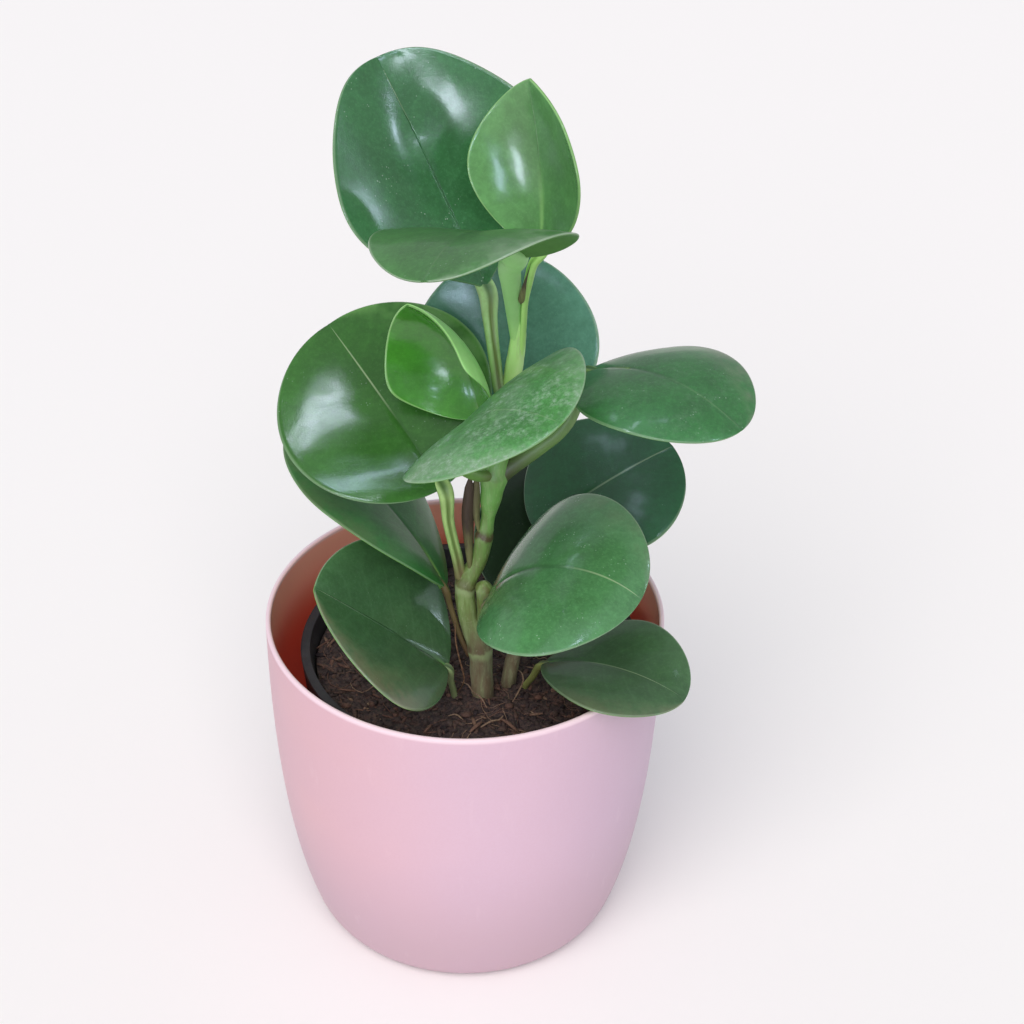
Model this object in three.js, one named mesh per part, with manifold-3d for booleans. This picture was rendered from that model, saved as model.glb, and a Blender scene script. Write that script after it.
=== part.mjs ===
// A potted peperomia: a young rubber-plant peperomia with thick round leaves, growing in a thin
// dark nursery pot that stands inside a smooth pink cover pot.
// Millimetres, +Z up. The origin is the middle of the flat base that the cover pot stands on.
// The side that the leaves lean towards, and that is seen first, is -Y.

import * as THREE from 'three';
import { mergeVertices } from 'three/addons/utils/BufferGeometryUtils.js';
import Module from 'manifold-3d';

const wasm = await Module();
wasm.setup();

// Driving dimensions, in millimetres, with angles in degrees

const gap = 0.3; // clearance left between pieces that touch

const coverPot = {
  height: 126,
  rimRadius: 70,
  shoulderRadius: 57.8, // where the belly turns in towards the base
  shoulderHeight: 8.5,
  turnInRadius: 55.4, // where the belly's line would meet the base
  baseRadius: 50, // flat part that it stands on
  bellyLow: [66, 34], // the two points that shape the belly's curve
  bellyHigh: [70, 75],
  wall: 1.8,
  floor: 3,
  sides: 40,
  outerSteps: 7, // facets up the belly, outside and inside
  innerSteps: 5,
  cornerSteps: 4, // facets round the turn into the base and round the lip
};

const nurseryPot = {
  offsetX: 1.7, // it stands a little off centre
  rimHeight: 112.6,
  rimRadius: 60,
  lip: 3.4, // width of the flat rolled lip
  bandHeight: 14, // the wider band under the lip
  bandBottomRadius: 58.6,
  bodyTopRadius: 55.4,
  bodyBottomRadius: 42,
  wall: 1.2,
  drainHoles: 6,
  drainRadius: 3.5,
  drainCircle: 27,
  drainSides: 10,
  sides: 32,
};

const soil = {
  topHeight: 104.6,
  clod: 0.9, // height of the clods on its surface
  clodWaves: [0.31, 0.27, 0.12, 0.53, 0.4], // how closely they follow each other
  mound: 1.2, // rise towards the middle
  rings: 8,
  sides: 32,
};

const blade = {
  edge: 0.8, // thickness at the margin
  middle: 1.5, // thickness at the midrib
  stations: 10, // cells from base to tip
  cells: 6, // cells across, three for each half
};

const stalk = {
  radii: [1.9, 2.2], // where it leaves the stem and where it meets the blade, unless a leaf has its own
  tip: 0.6, // radius where its rib ends under the blade
  sides: 6,
  ribReach: 0.3, // share of the blade's length that the rib runs along
  straight: 2, // it meets the blade in line over this length
};

// Stems: points up the middle, with the radius at each. Knots are thicker than what lies between.
const mainStem = [
  { at: [6, -21, 92], radius: 4.0 },
  { at: [6, -21, 106], radius: 4.0 },
  { at: [5.6, -21, 116], radius: 3.9 },
  { at: [5, -21, 126], radius: 4.1 },
  { at: [1, -20.5, 139.9], radius: 3.4 },
  { at: [0.3, -20, 153.1], radius: 3.5 },
  { at: [4.7, -20, 163.2], radius: 2.8 },
  { at: [6.3, -20, 172.3], radius: 2.9 },
  { at: [7.5, -19.6, 179.8], radius: 2.3 },
  { at: [8.7, -19.2, 189.2], radius: 3.7 },
  { at: [9.5, -18.4, 196.6], radius: 4.7 },
  { at: [11.4, -17.4, 207.3], radius: 3.2 },
  { at: [12, -16.4, 214.5], radius: 2.8 },
  { at: [13.8, -15.4, 224.9], radius: 2.9 },
  { at: [15.6, -15.4, 235.9], radius: 3.0 },
  { at: [16.8, -15.6, 247.9], radius: 2.8 },
  { at: [16.6, -16.4, 260], radius: 3.4 },
  { at: [16.1, -17, 264.6], radius: 2.5 },
];
const branchStem = [
  { at: [5, -21, 124], radius: 2.6 },
  { at: [6.5, -22.2, 139], radius: 2.4 },
  { at: [6.4, -23.4, 153.6], radius: 2.7 },
  { at: [6.5, -23.8, 156.8], radius: 1.5 },
];
const sideShoot = [
  { at: [14, -16, 93], radius: 2.6 },
  { at: [15.8, -14, 110], radius: 2.6 },
  { at: [18.5, -11, 122], radius: 2.4 },
  { at: [22, -5, 138], radius: 2.2 },
  { at: [23.2, 1, 149], radius: 2.4 },
];
const stemSides = 8;
const stemRings = 3; // rings from one knot to the next

// Dried brown scales left standing at three knots: points from the root, and the greatest radius
const driedScales = [
  { at: [[2.4, -20.2, 159.2], [1.2, -21.4, 170], [0.9, -22.2, 182.4], [1.3, -22.8, 196.4]], radius: 1.7 },
  { at: [[5, -20.4, 172.6], [3.5, -22, 184], [3.3, -21.8, 194]], radius: 1.3 },
  { at: [[17.2, -18.6, 261.6], [18.7, -22.2, 269.7], [20.4, -23.4, 278.1]], radius: 1.0 },
];
const scaleThickest = 0.62; // share of its length where a scale is thickest
const scaleSides = 5;

// Leaves. base: where the blade starts. heading: the way it points, from +X towards +Y. rise: how
// steeply it leaves its base. roll: turn about its midrib. arch: how far the midrib bends over on
// its way to the tip. fold and cup: how far each half lifts, at the midrib and more at the margin.
// round: how blunt the outline is at base and tip, where less is blunter. stalk: the way from the
// stem to the base. radii: the stalk's own radii at stem and blade.
const leaves = {
  leaf_top_back: {
    base: [6.8, -4, 257.9], heading: 134.5, rise: 49.5, roll: 15.8, length: 80.5, width: 80,
    arch: -7.8, fold: 13, cup: 18, twist: 0.4, round: [1.22, 0.45],
    stalk: [[12.9, -15.8, 219.8], [10.3, -16.4, 229.7], [9.4, -16.2, 236.7], [8.1, -15, 243.8], [7, -12.6, 249.8]],
    radii: [2.3, 2.8],
  },
  leaf_top_young: {
    base: [24, -20, 281.3], heading: 74, rise: 58, roll: 28, length: 53, width: 52,
    arch: -40, fold: 11, cup: 27, twist: 9, round: [0.55, 0.7],
    stalk: [[17.1, -16.8, 258], [19.6, -17.5, 266], [21.4, -19, 274.6]],
    radii: [1.5, 1.9],
  },
  leaf_top_front: {
    base: [15, -24, 281], heading: 230, rise: 57, roll: -17, length: 63, width: 63,
    arch: 79, fold: -3, cup: 6, twist: -7, round: [0.55, 0.5],
    stalk: [[15.4, -17.4, 261.3], [13.7, -19.4, 267.9], [13.2, -22, 274.3]],
    radii: [2.3, 3.6],
  },
  leaf_middle_back: {
    base: [15.2, 7, 200.4], heading: 89, rise: 64, roll: 12, length: 57, width: 64,
    arch: -5, fold: 4, cup: 20, twist: 0, round: [0.55, 0.5],
    stalk: [[8.4, -18.6, 186], [11, -9, 190], [13.8, 0, 194]],
  },
  leaf_middle_left: {
    base: [-7, -23, 194.4], heading: 138, rise: 41, roll: 33, length: 70, width: 73,
    arch: 27, fold: 6, cup: 7, twist: 0, round: [0.55, 0.5],
    stalk: [[-1.4, -20.2, 154.5], [-2.2, -21.6, 163.1], [-3.7, -23, 171.2], [-5, -24, 178.8], [-6.2, -24.4, 186]],
    radii: [1.8, 2.4],
  },
  leaf_middle_young: {
    base: [4.8, -18.2, 218], heading: 97, rise: 47.5, roll: 50, length: 49, width: 53,
    arch: -79, fold: 14, cup: 60, twist: 6, round: [0.49, 0.56],
    stalk: [[10.1, -18, 201.1], [7.5, -18.4, 209.6]],
    radii: [2, 2.4],
  },
  leaf_middle_front: {
    base: [-5, -36, 220.8], heading: -59, rise: 60, roll: -18, length: 62, width: 69,
    arch: 58, fold: -1, cup: -1, twist: -9, round: [0.55, 0.5],
    stalk: [[10, -18, 196], [4, -25.6, 200.8], [-2, -32.4, 209.6]],
  },
  leaf_middle_right: {
    base: [38.5, -12, 232], heading: -38, rise: 35, roll: 4, length: 64, width: 58,
    arch: 65, fold: -6, cup: -4, twist: -7, round: [0.55, 0.5],
    stalk: [[10.5, -18.2, 194.9], [15.1, -17.8, 197.4], [19.3, -17, 200], [24.8, -16.4, 205], [30.8, -15.6, 211.5],
      [34.6, -14.4, 217.6]],
    radii: [2.7, 2],
  },
  leaf_low_right_back: {
    base: [24.5, 5, 157], heading: 25, rise: 29, roll: -4, length: 57, width: 65,
    arch: 18, fold: -3, cup: 6, twist: -8, round: [0.55, 0.5],
    stalk: [[23.2, 1, 148]],
  },
  leaf_low_back: {
    base: [15, -1, 132], heading: 60, rise: 36, roll: 0, length: 50, width: 40,
    arch: 6, fold: 4, cup: 8, twist: 0, round: [0.55, 0.5],
    stalk: [[5.4, -21, 120], [9.8, -11, 126]],
  },
  leaf_low_right_front: {
    base: [7.3, -29.6, 152.4], heading: -30, rise: 69, roll: -12, length: 64, width: 73,
    arch: 108, fold: 0, cup: -7, twist: -15, round: [0.55, 0.5],
    stalk: [[6.9, -23.2, 144], [7, -27, 147]],
  },
  leaf_low_left: {
    base: [-6.9, -17, 149.4], heading: 132.8, rise: 43, roll: -44.5, length: 77, width: 63.7,
    arch: 28.3, fold: 0.6, cup: -5.3, twist: 31, round: [0.6, 0.5],
    stalk: [[1.7, -20.6, 122.5], [-1, -19.4, 128.1], [-3.4, -18, 135.8], [-5.1, -17, 141.9]],
    radii: [1, 1.3],
  },
  leaf_soil_left: {
    base: [-6, -28, 122.8], heading: 190, rise: 40, roll: 22, length: 60, width: 68,
    arch: -4, fold: 12, cup: 4, twist: -6, round: [0.55, 0.5],
    stalk: [[-3, -15, 96], [-3.4, -18, 105], [-4.4, -23.4, 114]],
  },
  leaf_soil_right: {
    base: [27, -25, 122], heading: -22, rise: 23, roll: 11, length: 53, width: 50,
    arch: 41, fold: 7, cup: 0, twist: -23, round: [0.75, 0.55],
    stalk: [[19.6, -13, 97], [20.6, -15.4, 106], [23, -20, 113]],
    radii: [1.2, 1.6],
  },
};
const stalkStep = 5; // length of stalk between two rings
const widestShift = 0.95; // under 1 puts a leaf's widest place nearer its base

const looks = {
  coverPot: { color: 0xe6b9c4, roughness: 0.42, metalness: 0 },
  nurseryPot: { color: 0x26252a, roughness: 0.6, metalness: 0 },
  soil: { color: 0x38241d, roughness: 0.95, metalness: 0 },
  stem: { color: 0x7c9450, roughness: 0.5, metalness: 0 },
  leaf: { color: 0x2f7038, roughness: 0.28, metalness: 0 },
  youngLeaf: { color: 0x4f9a3c, roughness: 0.3, metalness: 0 },
};
const youngLeaves = ['leaf_top_young', 'leaf_middle_young'];
const soilLeaves = ['leaf_soil_left', 'leaf_soil_right']; // their stalks come straight out of the soil

// Solids and meshes

const degrees = (angle) => THREE.MathUtils.degToRad(angle);
const vector = (xyz) => new THREE.Vector3(...xyz);

// A closed geometry as a solid that can be joined and cut. Triangles that a pole or a pointed end
// has squeezed to nothing are left out.
function solidOf(geometry) {
  const bare = geometry.clone();
  bare.deleteAttribute('normal');
  bare.deleteAttribute('uv');
  const merged = mergeVertices(bare, 1e-4);
  const index = merged.index.array;
  const kept = [];
  for (let i = 0; i < index.length; i += 3) {
    const [a, b, c] = [index[i], index[i + 1], index[i + 2]];
    if (a !== b && b !== c && c !== a) kept.push(a, b, c);
  }
  return new wasm.Manifold(new wasm.Mesh({
    numProp: 3,
    vertProperties: new Float32Array(merged.attributes.position.array),
    triVerts: new Uint32Array(kept),
  }));
}

function geometryOf(solid) {
  const mesh = solid.getMesh();
  const geometry = new THREE.BufferGeometry();
  geometry.setAttribute('position', new THREE.BufferAttribute(mesh.vertProperties, 3));
  geometry.setIndex(new THREE.BufferAttribute(mesh.triVerts, 1));
  geometry.computeVertexNormals();
  return geometry;
}

function meshOf(name, solid, look) {
  const mesh = new THREE.Mesh(geometryOf(solid), new THREE.MeshStandardMaterial(look));
  mesh.name = name;
  return mesh;
}

function join(solids) {
  return solids.reduce((whole, solid) => whole.add(solid));
}

// A solid of revolution about Z, from a profile of radius and height that starts and ends on the axis
function turned(profile, sides) {
  const geometry = new THREE.LatheGeometry(profile.slice().reverse(), sides);
  return geometry.rotateX(Math.PI / 2).scale(1, -1, 1);
}

// A closed tube whose rings follow a curve, with a radius worked out for each share of its length
function taperedTube(curve, radiusAt, rings, sides) {
  const frames = curve.computeFrenetFrames(rings, false);
  const positions = [];
  const index = [];
  for (let i = 0; i <= rings; i++) {
    const middle = curve.getPointAt(i / rings);
    const radius = radiusAt(i / rings);
    for (let j = 0; j < sides; j++) {
      const turn = (2 * Math.PI * j) / sides;
      const point = middle.clone()
        .addScaledVector(frames.normals[i], radius * Math.cos(turn))
        .addScaledVector(frames.binormals[i], radius * Math.sin(turn));
      positions.push(...point);
    }
  }
  for (let i = 0; i < rings; i++) {
    for (let j = 0; j < sides; j++) {
      const [a, b] = [i * sides + j, i * sides + ((j + 1) % sides)];
      index.push(a, b, b + sides, a, b + sides, a + sides);
    }
  }
  const last = rings * sides;
  for (let j = 1; j < sides - 1; j++) {
    index.push(0, j + 1, j);
    index.push(last, last + j, last + j + 1);
  }
  const geometry = new THREE.BufferGeometry();
  geometry.setAttribute('position', new THREE.Float32BufferAttribute(positions, 3));
  geometry.setIndex(index);
  return geometry;
}

function smoothCurve(points) {
  return new THREE.CatmullRomCurve3(points.map(vector), false, 'centripetal');
}

// Pots

function coverPotSolid() {
  const { height, rimRadius, shoulderRadius, shoulderHeight, baseRadius, wall, floor } = coverPot;
  const lipRadius = wall / 2;
  const lipHeight = height - lipRadius;
  const belly = (inset) => new THREE.CubicBezierCurve(
    new THREE.Vector2(shoulderRadius - inset, shoulderHeight),
    new THREE.Vector2(coverPot.bellyLow[0] - inset, coverPot.bellyLow[1]),
    new THREE.Vector2(coverPot.bellyHigh[0] - inset, coverPot.bellyHigh[1]),
    new THREE.Vector2(rimRadius - inset, lipHeight),
  );
  const turnIn = (inset, bottom) => new THREE.QuadraticBezierCurve(
    new THREE.Vector2(baseRadius - inset, bottom),
    new THREE.Vector2(coverPot.turnInRadius - inset, bottom),
    new THREE.Vector2(shoulderRadius - inset, shoulderHeight),
  );
  const outside = [
    ...turnIn(0, 0).getPoints(coverPot.cornerSteps),
    ...belly(0).getPoints(coverPot.outerSteps).slice(1),
  ];
  const lip = new THREE.EllipseCurve(rimRadius - lipRadius, lipHeight, lipRadius, lipRadius, 0, Math.PI);
  const inside = [
    ...turnIn(wall, floor).getPoints(coverPot.cornerSteps - 1),
    ...belly(wall).getPoints(coverPot.innerSteps).slice(1),
  ].reverse();
  const profile = [
    new THREE.Vector2(0, 0),
    ...outside,
    ...lip.getPoints(coverPot.cornerSteps).slice(1, -1),
    ...inside,
    new THREE.Vector2(0, floor),
  ];
  return solidOf(turned(profile, coverPot.sides));
}

// Radii of the nursery pot's inner wall, from its floor up to its lip
function nurseryInside() {
  const { rimHeight, rimRadius, lip, bandHeight, bodyTopRadius, bodyBottomRadius, wall } = nurseryPot;
  const bottom = coverPot.floor + gap;
  return [
    new THREE.Vector2(bodyBottomRadius - wall, bottom + wall),
    new THREE.Vector2(bodyTopRadius - wall, rimHeight - bandHeight),
    new THREE.Vector2(rimRadius - lip, rimHeight),
  ];
}

function nurseryPotSolid() {
  const pot = nurseryPot;
  const bottom = coverPot.floor + gap;
  const bandBottom = pot.rimHeight - pot.bandHeight;
  const profile = [
    new THREE.Vector2(0, bottom),
    new THREE.Vector2(pot.bodyBottomRadius, bottom),
    new THREE.Vector2(pot.bodyTopRadius, bandBottom),
    new THREE.Vector2(pot.bandBottomRadius, bandBottom),
    new THREE.Vector2(pot.rimRadius, pot.rimHeight),
    ...nurseryInside().reverse(),
    new THREE.Vector2(0, bottom + pot.wall),
  ];
  let solid = solidOf(turned(profile, pot.sides));
  for (let i = 0; i < pot.drainHoles; i++) {
    const turn = (2 * Math.PI * i) / pot.drainHoles;
    const hole = new THREE.CylinderGeometry(pot.drainRadius, pot.drainRadius, 4 * pot.wall, pot.drainSides)
      .rotateX(Math.PI / 2)
      .translate(pot.drainCircle * Math.cos(turn), pot.drainCircle * Math.sin(turn), bottom);
    solid = solid.subtract(solidOf(hole));
  }
  return solid;
}

// Soil fills the nursery pot to a little under its lip. Its top is a low mound with clods.
function soilSolid() {
  const [floorCorner, bandCorner, lipCorner] = nurseryInside();
  const topShare = (soil.topHeight - bandCorner.y) / (lipCorner.y - bandCorner.y);
  const topRadius = THREE.MathUtils.lerp(bandCorner.x, lipCorner.x, topShare) - gap;
  const profile = [
    new THREE.Vector2(0, floorCorner.y + gap),
    new THREE.Vector2(floorCorner.x - gap, floorCorner.y + gap),
    new THREE.Vector2(bandCorner.x - gap, bandCorner.y),
  ];
  for (let i = soil.rings; i >= 0; i--) {
    profile.push(new THREE.Vector2((topRadius * i) / soil.rings, soil.topHeight));
  }
  const geometry = turned(profile, soil.sides);
  const position = geometry.attributes.position;
  const [a, b, c, d, e] = soil.clodWaves;
  for (let i = 0; i < position.count; i++) {
    const [x, y, z] = [position.getX(i), position.getY(i), position.getZ(i)];
    if (z < soil.topHeight - gap) continue;
    const share = Math.min(1, Math.hypot(x, y) / topRadius);
    const clods = Math.sin(a * x + 1) * Math.cos(b * y - c * x) + Math.sin(d * y + e * x) / 2;
    position.setZ(i, z + soil.mound * (1 - share ** 2) + soil.clod * clods * (1 - share ** 4));
  }
  return solidOf(geometry.translate(nurseryPot.offsetX, 0, 0));
}

// Stems

function stemSolid(knots, extra = 0) {
  const curve = smoothCurve(knots.map((knot) => knot.at));
  const spans = knots.length - 1;
  const lengths = curve.getLengths(spans * stemRings);
  const shareAt = knots.map((_, i) => lengths[i * stemRings] / lengths[spans * stemRings]);
  const radiusAt = (share) => {
    let i = 1;
    while (i < spans && shareAt[i] < share) i++;
    const local = THREE.MathUtils.clamp((share - shareAt[i - 1]) / (shareAt[i] - shareAt[i - 1]), 0, 1);
    return THREE.MathUtils.lerp(knots[i - 1].radius, knots[i].radius, local) + extra;
  };
  return solidOf(taperedTube(curve, radiusAt, spans * stemRings, stemSides));
}

function scaleSolid(scale, extra = 0) {
  const curve = smoothCurve(scale.at);
  const radiusAt = (share) => scale.radius * Math.exp(-(((share - scaleThickest) / 0.5) ** 2)) + extra;
  return solidOf(taperedTube(curve, radiusAt, scaleSides, scaleSides));
}

// Leaves

// The middle line of a leaf and the directions along, across and up from it
function midribOf(leaf) {
  const heading = degrees(leaf.heading);
  const rise = degrees(leaf.rise);
  const roll = degrees(leaf.roll);
  const arch = degrees(leaf.arch);
  const start = new THREE.Vector3(
    Math.cos(heading) * Math.cos(rise),
    Math.sin(heading) * Math.cos(rise),
    Math.sin(rise),
  );
  const level = start.clone().cross(new THREE.Vector3(0, 0, 1)).normalize();
  const across = level.clone().applyAxisAngle(start, -roll);
  const up = across.clone().cross(start);
  const bendRadius = leaf.length / arch;
  return (share) => {
    const bend = arch * share;
    const point = vector(leaf.base)
      .addScaledVector(start, bendRadius * Math.sin(bend))
      .addScaledVector(up, -bendRadius * (1 - Math.cos(bend)));
    const forward = start.clone().multiplyScalar(Math.cos(bend)).addScaledVector(up, -Math.sin(bend));
    const twist = degrees(leaf.twist) * share;
    const side = across.clone().applyAxisAngle(forward, -twist);
    return { point, forward, side, up: side.clone().cross(forward) };
  };
}

function halfWidthAt(leaf, share) {
  const blunt = THREE.MathUtils.lerp(leaf.round[0], leaf.round[1], share);
  const swell = Math.max(0, Math.sin(Math.PI * share ** widestShift));
  return (leaf.width / 2) * swell ** blunt;
}

// A thin blade: the same grid of points on its upper and lower face, closed along the margin
function bladeSolid(leaf) {
  const midrib = midribOf(leaf);
  const fold = degrees(leaf.fold);
  const curl = degrees(leaf.cup) / (leaf.width / 2) || 1e-6;
  const { stations, cells } = blade;
  const columns = cells + 1;
  const upper = [];
  const lower = [];
  for (let i = 0; i <= stations; i++) {
    const share = 0.5 - 0.5 * Math.cos((Math.PI * i) / stations);
    const atEnd = i === 0 || i === stations;
    const halfWidth = atEnd ? 0 : halfWidthAt(leaf, share);
    const { point, side, up } = midrib(share);
    for (let j = 0; j <= cells; j++) {
      const across = (2 * j) / cells - 1;
      const reach = Math.abs(across) * halfWidth;
      const sign = Math.sign(across);
      const tilt = atEnd || sign === 0 ? 0 : fold + curl * reach;
      const outward = (Math.sin(fold + curl * reach) - Math.sin(fold)) / curl;
      const lift = (Math.cos(fold) - Math.cos(fold + curl * reach)) / curl;
      const middle = point.clone().addScaledVector(side, sign * outward).addScaledVector(up, lift);
      const normal = up.clone().multiplyScalar(Math.cos(tilt)).addScaledVector(side, -sign * Math.sin(tilt));
      const fullness = (halfWidth / (leaf.width / 2)) * (1 - across * across);
      const half = THREE.MathUtils.lerp(blade.edge, blade.middle, fullness) / 2;
      upper.push(...middle.clone().addScaledVector(normal, half));
      lower.push(...middle.clone().addScaledVector(normal, -half));
    }
  }
  const below = upper.length / 3;
  const index = [];
  for (let i = 0; i < stations; i++) {
    for (let j = 0; j < cells; j++) {
      const [a, b] = [i * columns + j, i * columns + j + 1];
      const [c, d] = [b + columns, a + columns];
      index.push(a, b, c, a, c, d);
      index.push(below + a, below + c, below + b, below + a, below + d, below + c);
    }
    const [left, right] = [i * columns, i * columns + cells];
    const [leftNext, rightNext] = [left + columns, right + columns];
    index.push(left, leftNext, below + leftNext, left, below + leftNext, below + left);
    index.push(right, below + right, below + rightNext, right, below + rightNext, rightNext);
  }
  const geometry = new THREE.BufferGeometry();
  geometry.setAttribute('position', new THREE.Float32BufferAttribute([...upper, ...lower], 3));
  geometry.setIndex(index);
  return solidOf(geometry);
}

// The stalk runs from the stem to the blade and on as a rib along its underside
function stalkSolid(leaf, extra = 0) {
  const midrib = midribOf(leaf);
  const [foot, neck] = leaf.radii || stalk.radii;
  const { forward } = midrib(0);
  const joinPoint = vector(leaf.base).addScaledVector(forward, -stalk.straight);
  const ribPoints = [1 / 3, 2 / 3, 1].map((share) => {
    const { point, up } = midrib(share * stalk.ribReach);
    const sink = blade.middle / 2 - stalk.tip + (neck / 2) * (1 - share);
    return point.addScaledVector(up, -sink).toArray();
  });
  const curve = smoothCurve([...leaf.stalk, joinPoint.toArray(), ...ribPoints]);
  const total = curve.getLength();
  const freeShare = 1 - (leaf.length * stalk.ribReach) / total;
  const radiusAt = (share) => extra + (share < freeShare
    ? THREE.MathUtils.lerp(foot, neck, share / freeShare)
    : THREE.MathUtils.lerp(neck, stalk.tip, (share - freeShare) / (1 - freeShare)));
  const rings = Math.max(5, Math.round(total / stalkStep));
  return solidOf(taperedTube(curve, radiusAt, rings, stalk.sides));
}

// The plant in its pots

const stems = {
  stem_main: join([stemSolid(mainStem), stemSolid(branchStem), ...driedScales.map((scale) => scaleSolid(scale))]),
  stem_side_shoot: stemSolid(sideShoot),
};
const roomForStems = join([
  ...[mainStem, branchStem, sideShoot].map((knots) => stemSolid(knots, gap)),
  ...driedScales.map((scale) => scaleSolid(scale, gap)),
]);
const roomForStalks = join(soilLeaves.map((name) => stalkSolid(leaves[name], gap)));

const object = new THREE.Group();
object.add(meshOf('cover_pot', coverPotSolid(), looks.coverPot));

const innerPot = new THREE.Group();
innerPot.position.x = nurseryPot.offsetX;
innerPot.add(meshOf('nursery_pot', nurseryPotSolid(), looks.nurseryPot));
object.add(innerPot);

object.add(meshOf('soil', soilSolid().subtract(roomForStems).subtract(roomForStalks), looks.soil));
for (const [name, solid] of Object.entries(stems)) {
  object.add(meshOf(name, solid, looks.stem));
}
for (const [name, leaf] of Object.entries(leaves)) {
  const solid = bladeSolid(leaf).add(stalkSolid(leaf).subtract(roomForStems));
  object.add(meshOf(name, solid, youngLeaves.includes(name) ? looks.youngLeaf : looks.leaf));
}

export default object;
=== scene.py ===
# A potted peperomia: thick round glossy leaves on jointed stems, in a thin black nursery pot that
# stands inside a smooth pink cover pot. The plant leans towards -Y, the side that is seen first.
# Sizes are written in millimetres and turned into metres where a mesh is made.

import math
import random

import bmesh
import bpy
from mathutils import Matrix, Quaternion, Vector, noise


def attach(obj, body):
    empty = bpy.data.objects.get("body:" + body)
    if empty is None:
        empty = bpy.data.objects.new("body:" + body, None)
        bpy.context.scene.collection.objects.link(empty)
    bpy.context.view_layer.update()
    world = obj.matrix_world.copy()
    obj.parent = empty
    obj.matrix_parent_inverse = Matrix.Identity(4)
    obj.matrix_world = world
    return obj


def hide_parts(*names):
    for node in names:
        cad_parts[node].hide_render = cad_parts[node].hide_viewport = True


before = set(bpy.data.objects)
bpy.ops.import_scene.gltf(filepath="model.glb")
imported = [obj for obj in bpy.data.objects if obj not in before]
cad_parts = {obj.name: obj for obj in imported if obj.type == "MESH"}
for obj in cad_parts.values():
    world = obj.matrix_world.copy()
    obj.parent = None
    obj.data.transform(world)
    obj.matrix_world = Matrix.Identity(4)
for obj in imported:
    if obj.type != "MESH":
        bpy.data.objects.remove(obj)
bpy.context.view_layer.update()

mm = 0.001
print("frame loaded:", len(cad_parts), "nodes")


# Camera, floor and light

viewpoint = {
    "aim": (0, 0, 168.4),  # point that the lens looks at
    "distance": 800,
    "rise": 35.15,  # degrees above level
    "lens": 82.4, "sensor": 36,
    "shift": 0.0459,  # frames the plant a little left of the middle
    "nearest": 0.02, "farthest": 40,  # metres
}

studio = {
    "floorRadius": 6000, "floorSides": 96,
    "floorDrop": 0.2,  # keeps the floor clear of the pot's flat base
    "floorColor": (246, 245, 246),
    "skyColor": (232, 236, 244),
    "skyStrength": 0.58,
    # a broad soft sun gives the shading; the soft boxes are only there for the glossy leaves to mirror
    "sun": {"heading": -12, "rise": 50, "spread": 50, "strength": 2.3, "color": (255, 248, 241)},
    # each soft box: heading from -Y towards +X, rise, width, height, watts, colour
    # and a turn about its own axis where it has one
    "boxDistance": 1300,
    "softBoxes": {
        "overhead": (-50.4, 83.4, 130, 42, 0.8, (226, 234, 255), 46),
        "overheadLong": (-16.8, 82, 150, 36, 0.75, (222, 232, 255), -49),
        "highFront": (17.5, 60.5, 85, 110, 0.8, (204, 222, 255)),
        "window": (14, 43, 300, 85, 2.3, (226, 236, 255), 26),
        "windowLow": (39.7, 38.5, 90, 50, 0.4, (214, 228, 255)),
        "windowSide": (61, 45, 100, 100, 0.95, (212, 228, 255)),
        "sideLow": (106.3, 25.1, 50, 90, 0.35, (212, 230, 255)),
        "leftLow": (-62, 1.5, 130, 170, 1.6, (222, 232, 255)),
        "leftWindow": (-44.6, 11.3, 120, 150, 1.1, (200, 218, 255)),
        "frontWindow": (1.4, 22.3, 110, 75, 0.6, (204, 222, 255)),
        "lowFront": (-11.2, 3.5, 300, 240, 3.3, (222, 232, 255)),
        "lowFrontHigh": (-8, 17.3, 90, 60, 0.15, (222, 232, 255)),
        "behindLeft": (-157.5, 61.5, 80, 190, 0.3, (208, 226, 255)),
        "behindRight": (129, 73.8, 90, 90, 0.2, (208, 226, 255)),
        "behindHigh": (164, 79, 60, 90, 0.4, (214, 230, 255)),
        "top": (-116, 85.3, 70, 70, 0.4, (222, 232, 255)),
        "rightLow": (98, 13.2, 55, 80, 0.3, (214, 234, 255)),
    },
}


def linear(channel):
    share = channel / 255
    return share / 12.92 if share <= 0.04045 else ((share + 0.055) / 1.055) ** 2.4


def paint(red, green, blue):
    return (linear(red), linear(green), linear(blue), 1.0)


# a colour made lighter or darker: each channel times gain, and lift added
def shade(color, gain, lift=0):
    return tuple(min(255, channel * gain + lift) for channel in color)


def addObject(name, data):
    thing = bpy.data.objects.new(name, data)
    bpy.context.collection.objects.link(thing)
    return thing


def outwards(heading, rise):
    turn, lift = math.radians(heading), math.radians(rise)
    return Vector((math.sin(turn) * math.cos(lift), -math.cos(turn) * math.cos(lift), math.sin(lift)))


def makeCamera():
    lens = bpy.data.cameras.new("camera")
    lens.lens, lens.sensor_width, lens.shift_x = (viewpoint[key] for key in ("lens", "sensor", "shift"))
    lens.clip_start, lens.clip_end = viewpoint["nearest"], viewpoint["farthest"]
    camera = addObject("camera", lens)
    away = outwards(0, viewpoint["rise"]) * viewpoint["distance"]
    camera.location = (Vector(viewpoint["aim"]) + away) * mm
    camera.rotation_euler = (math.pi / 2 - math.radians(viewpoint["rise"]), 0, 0)
    bpy.context.scene.camera = camera


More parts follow.
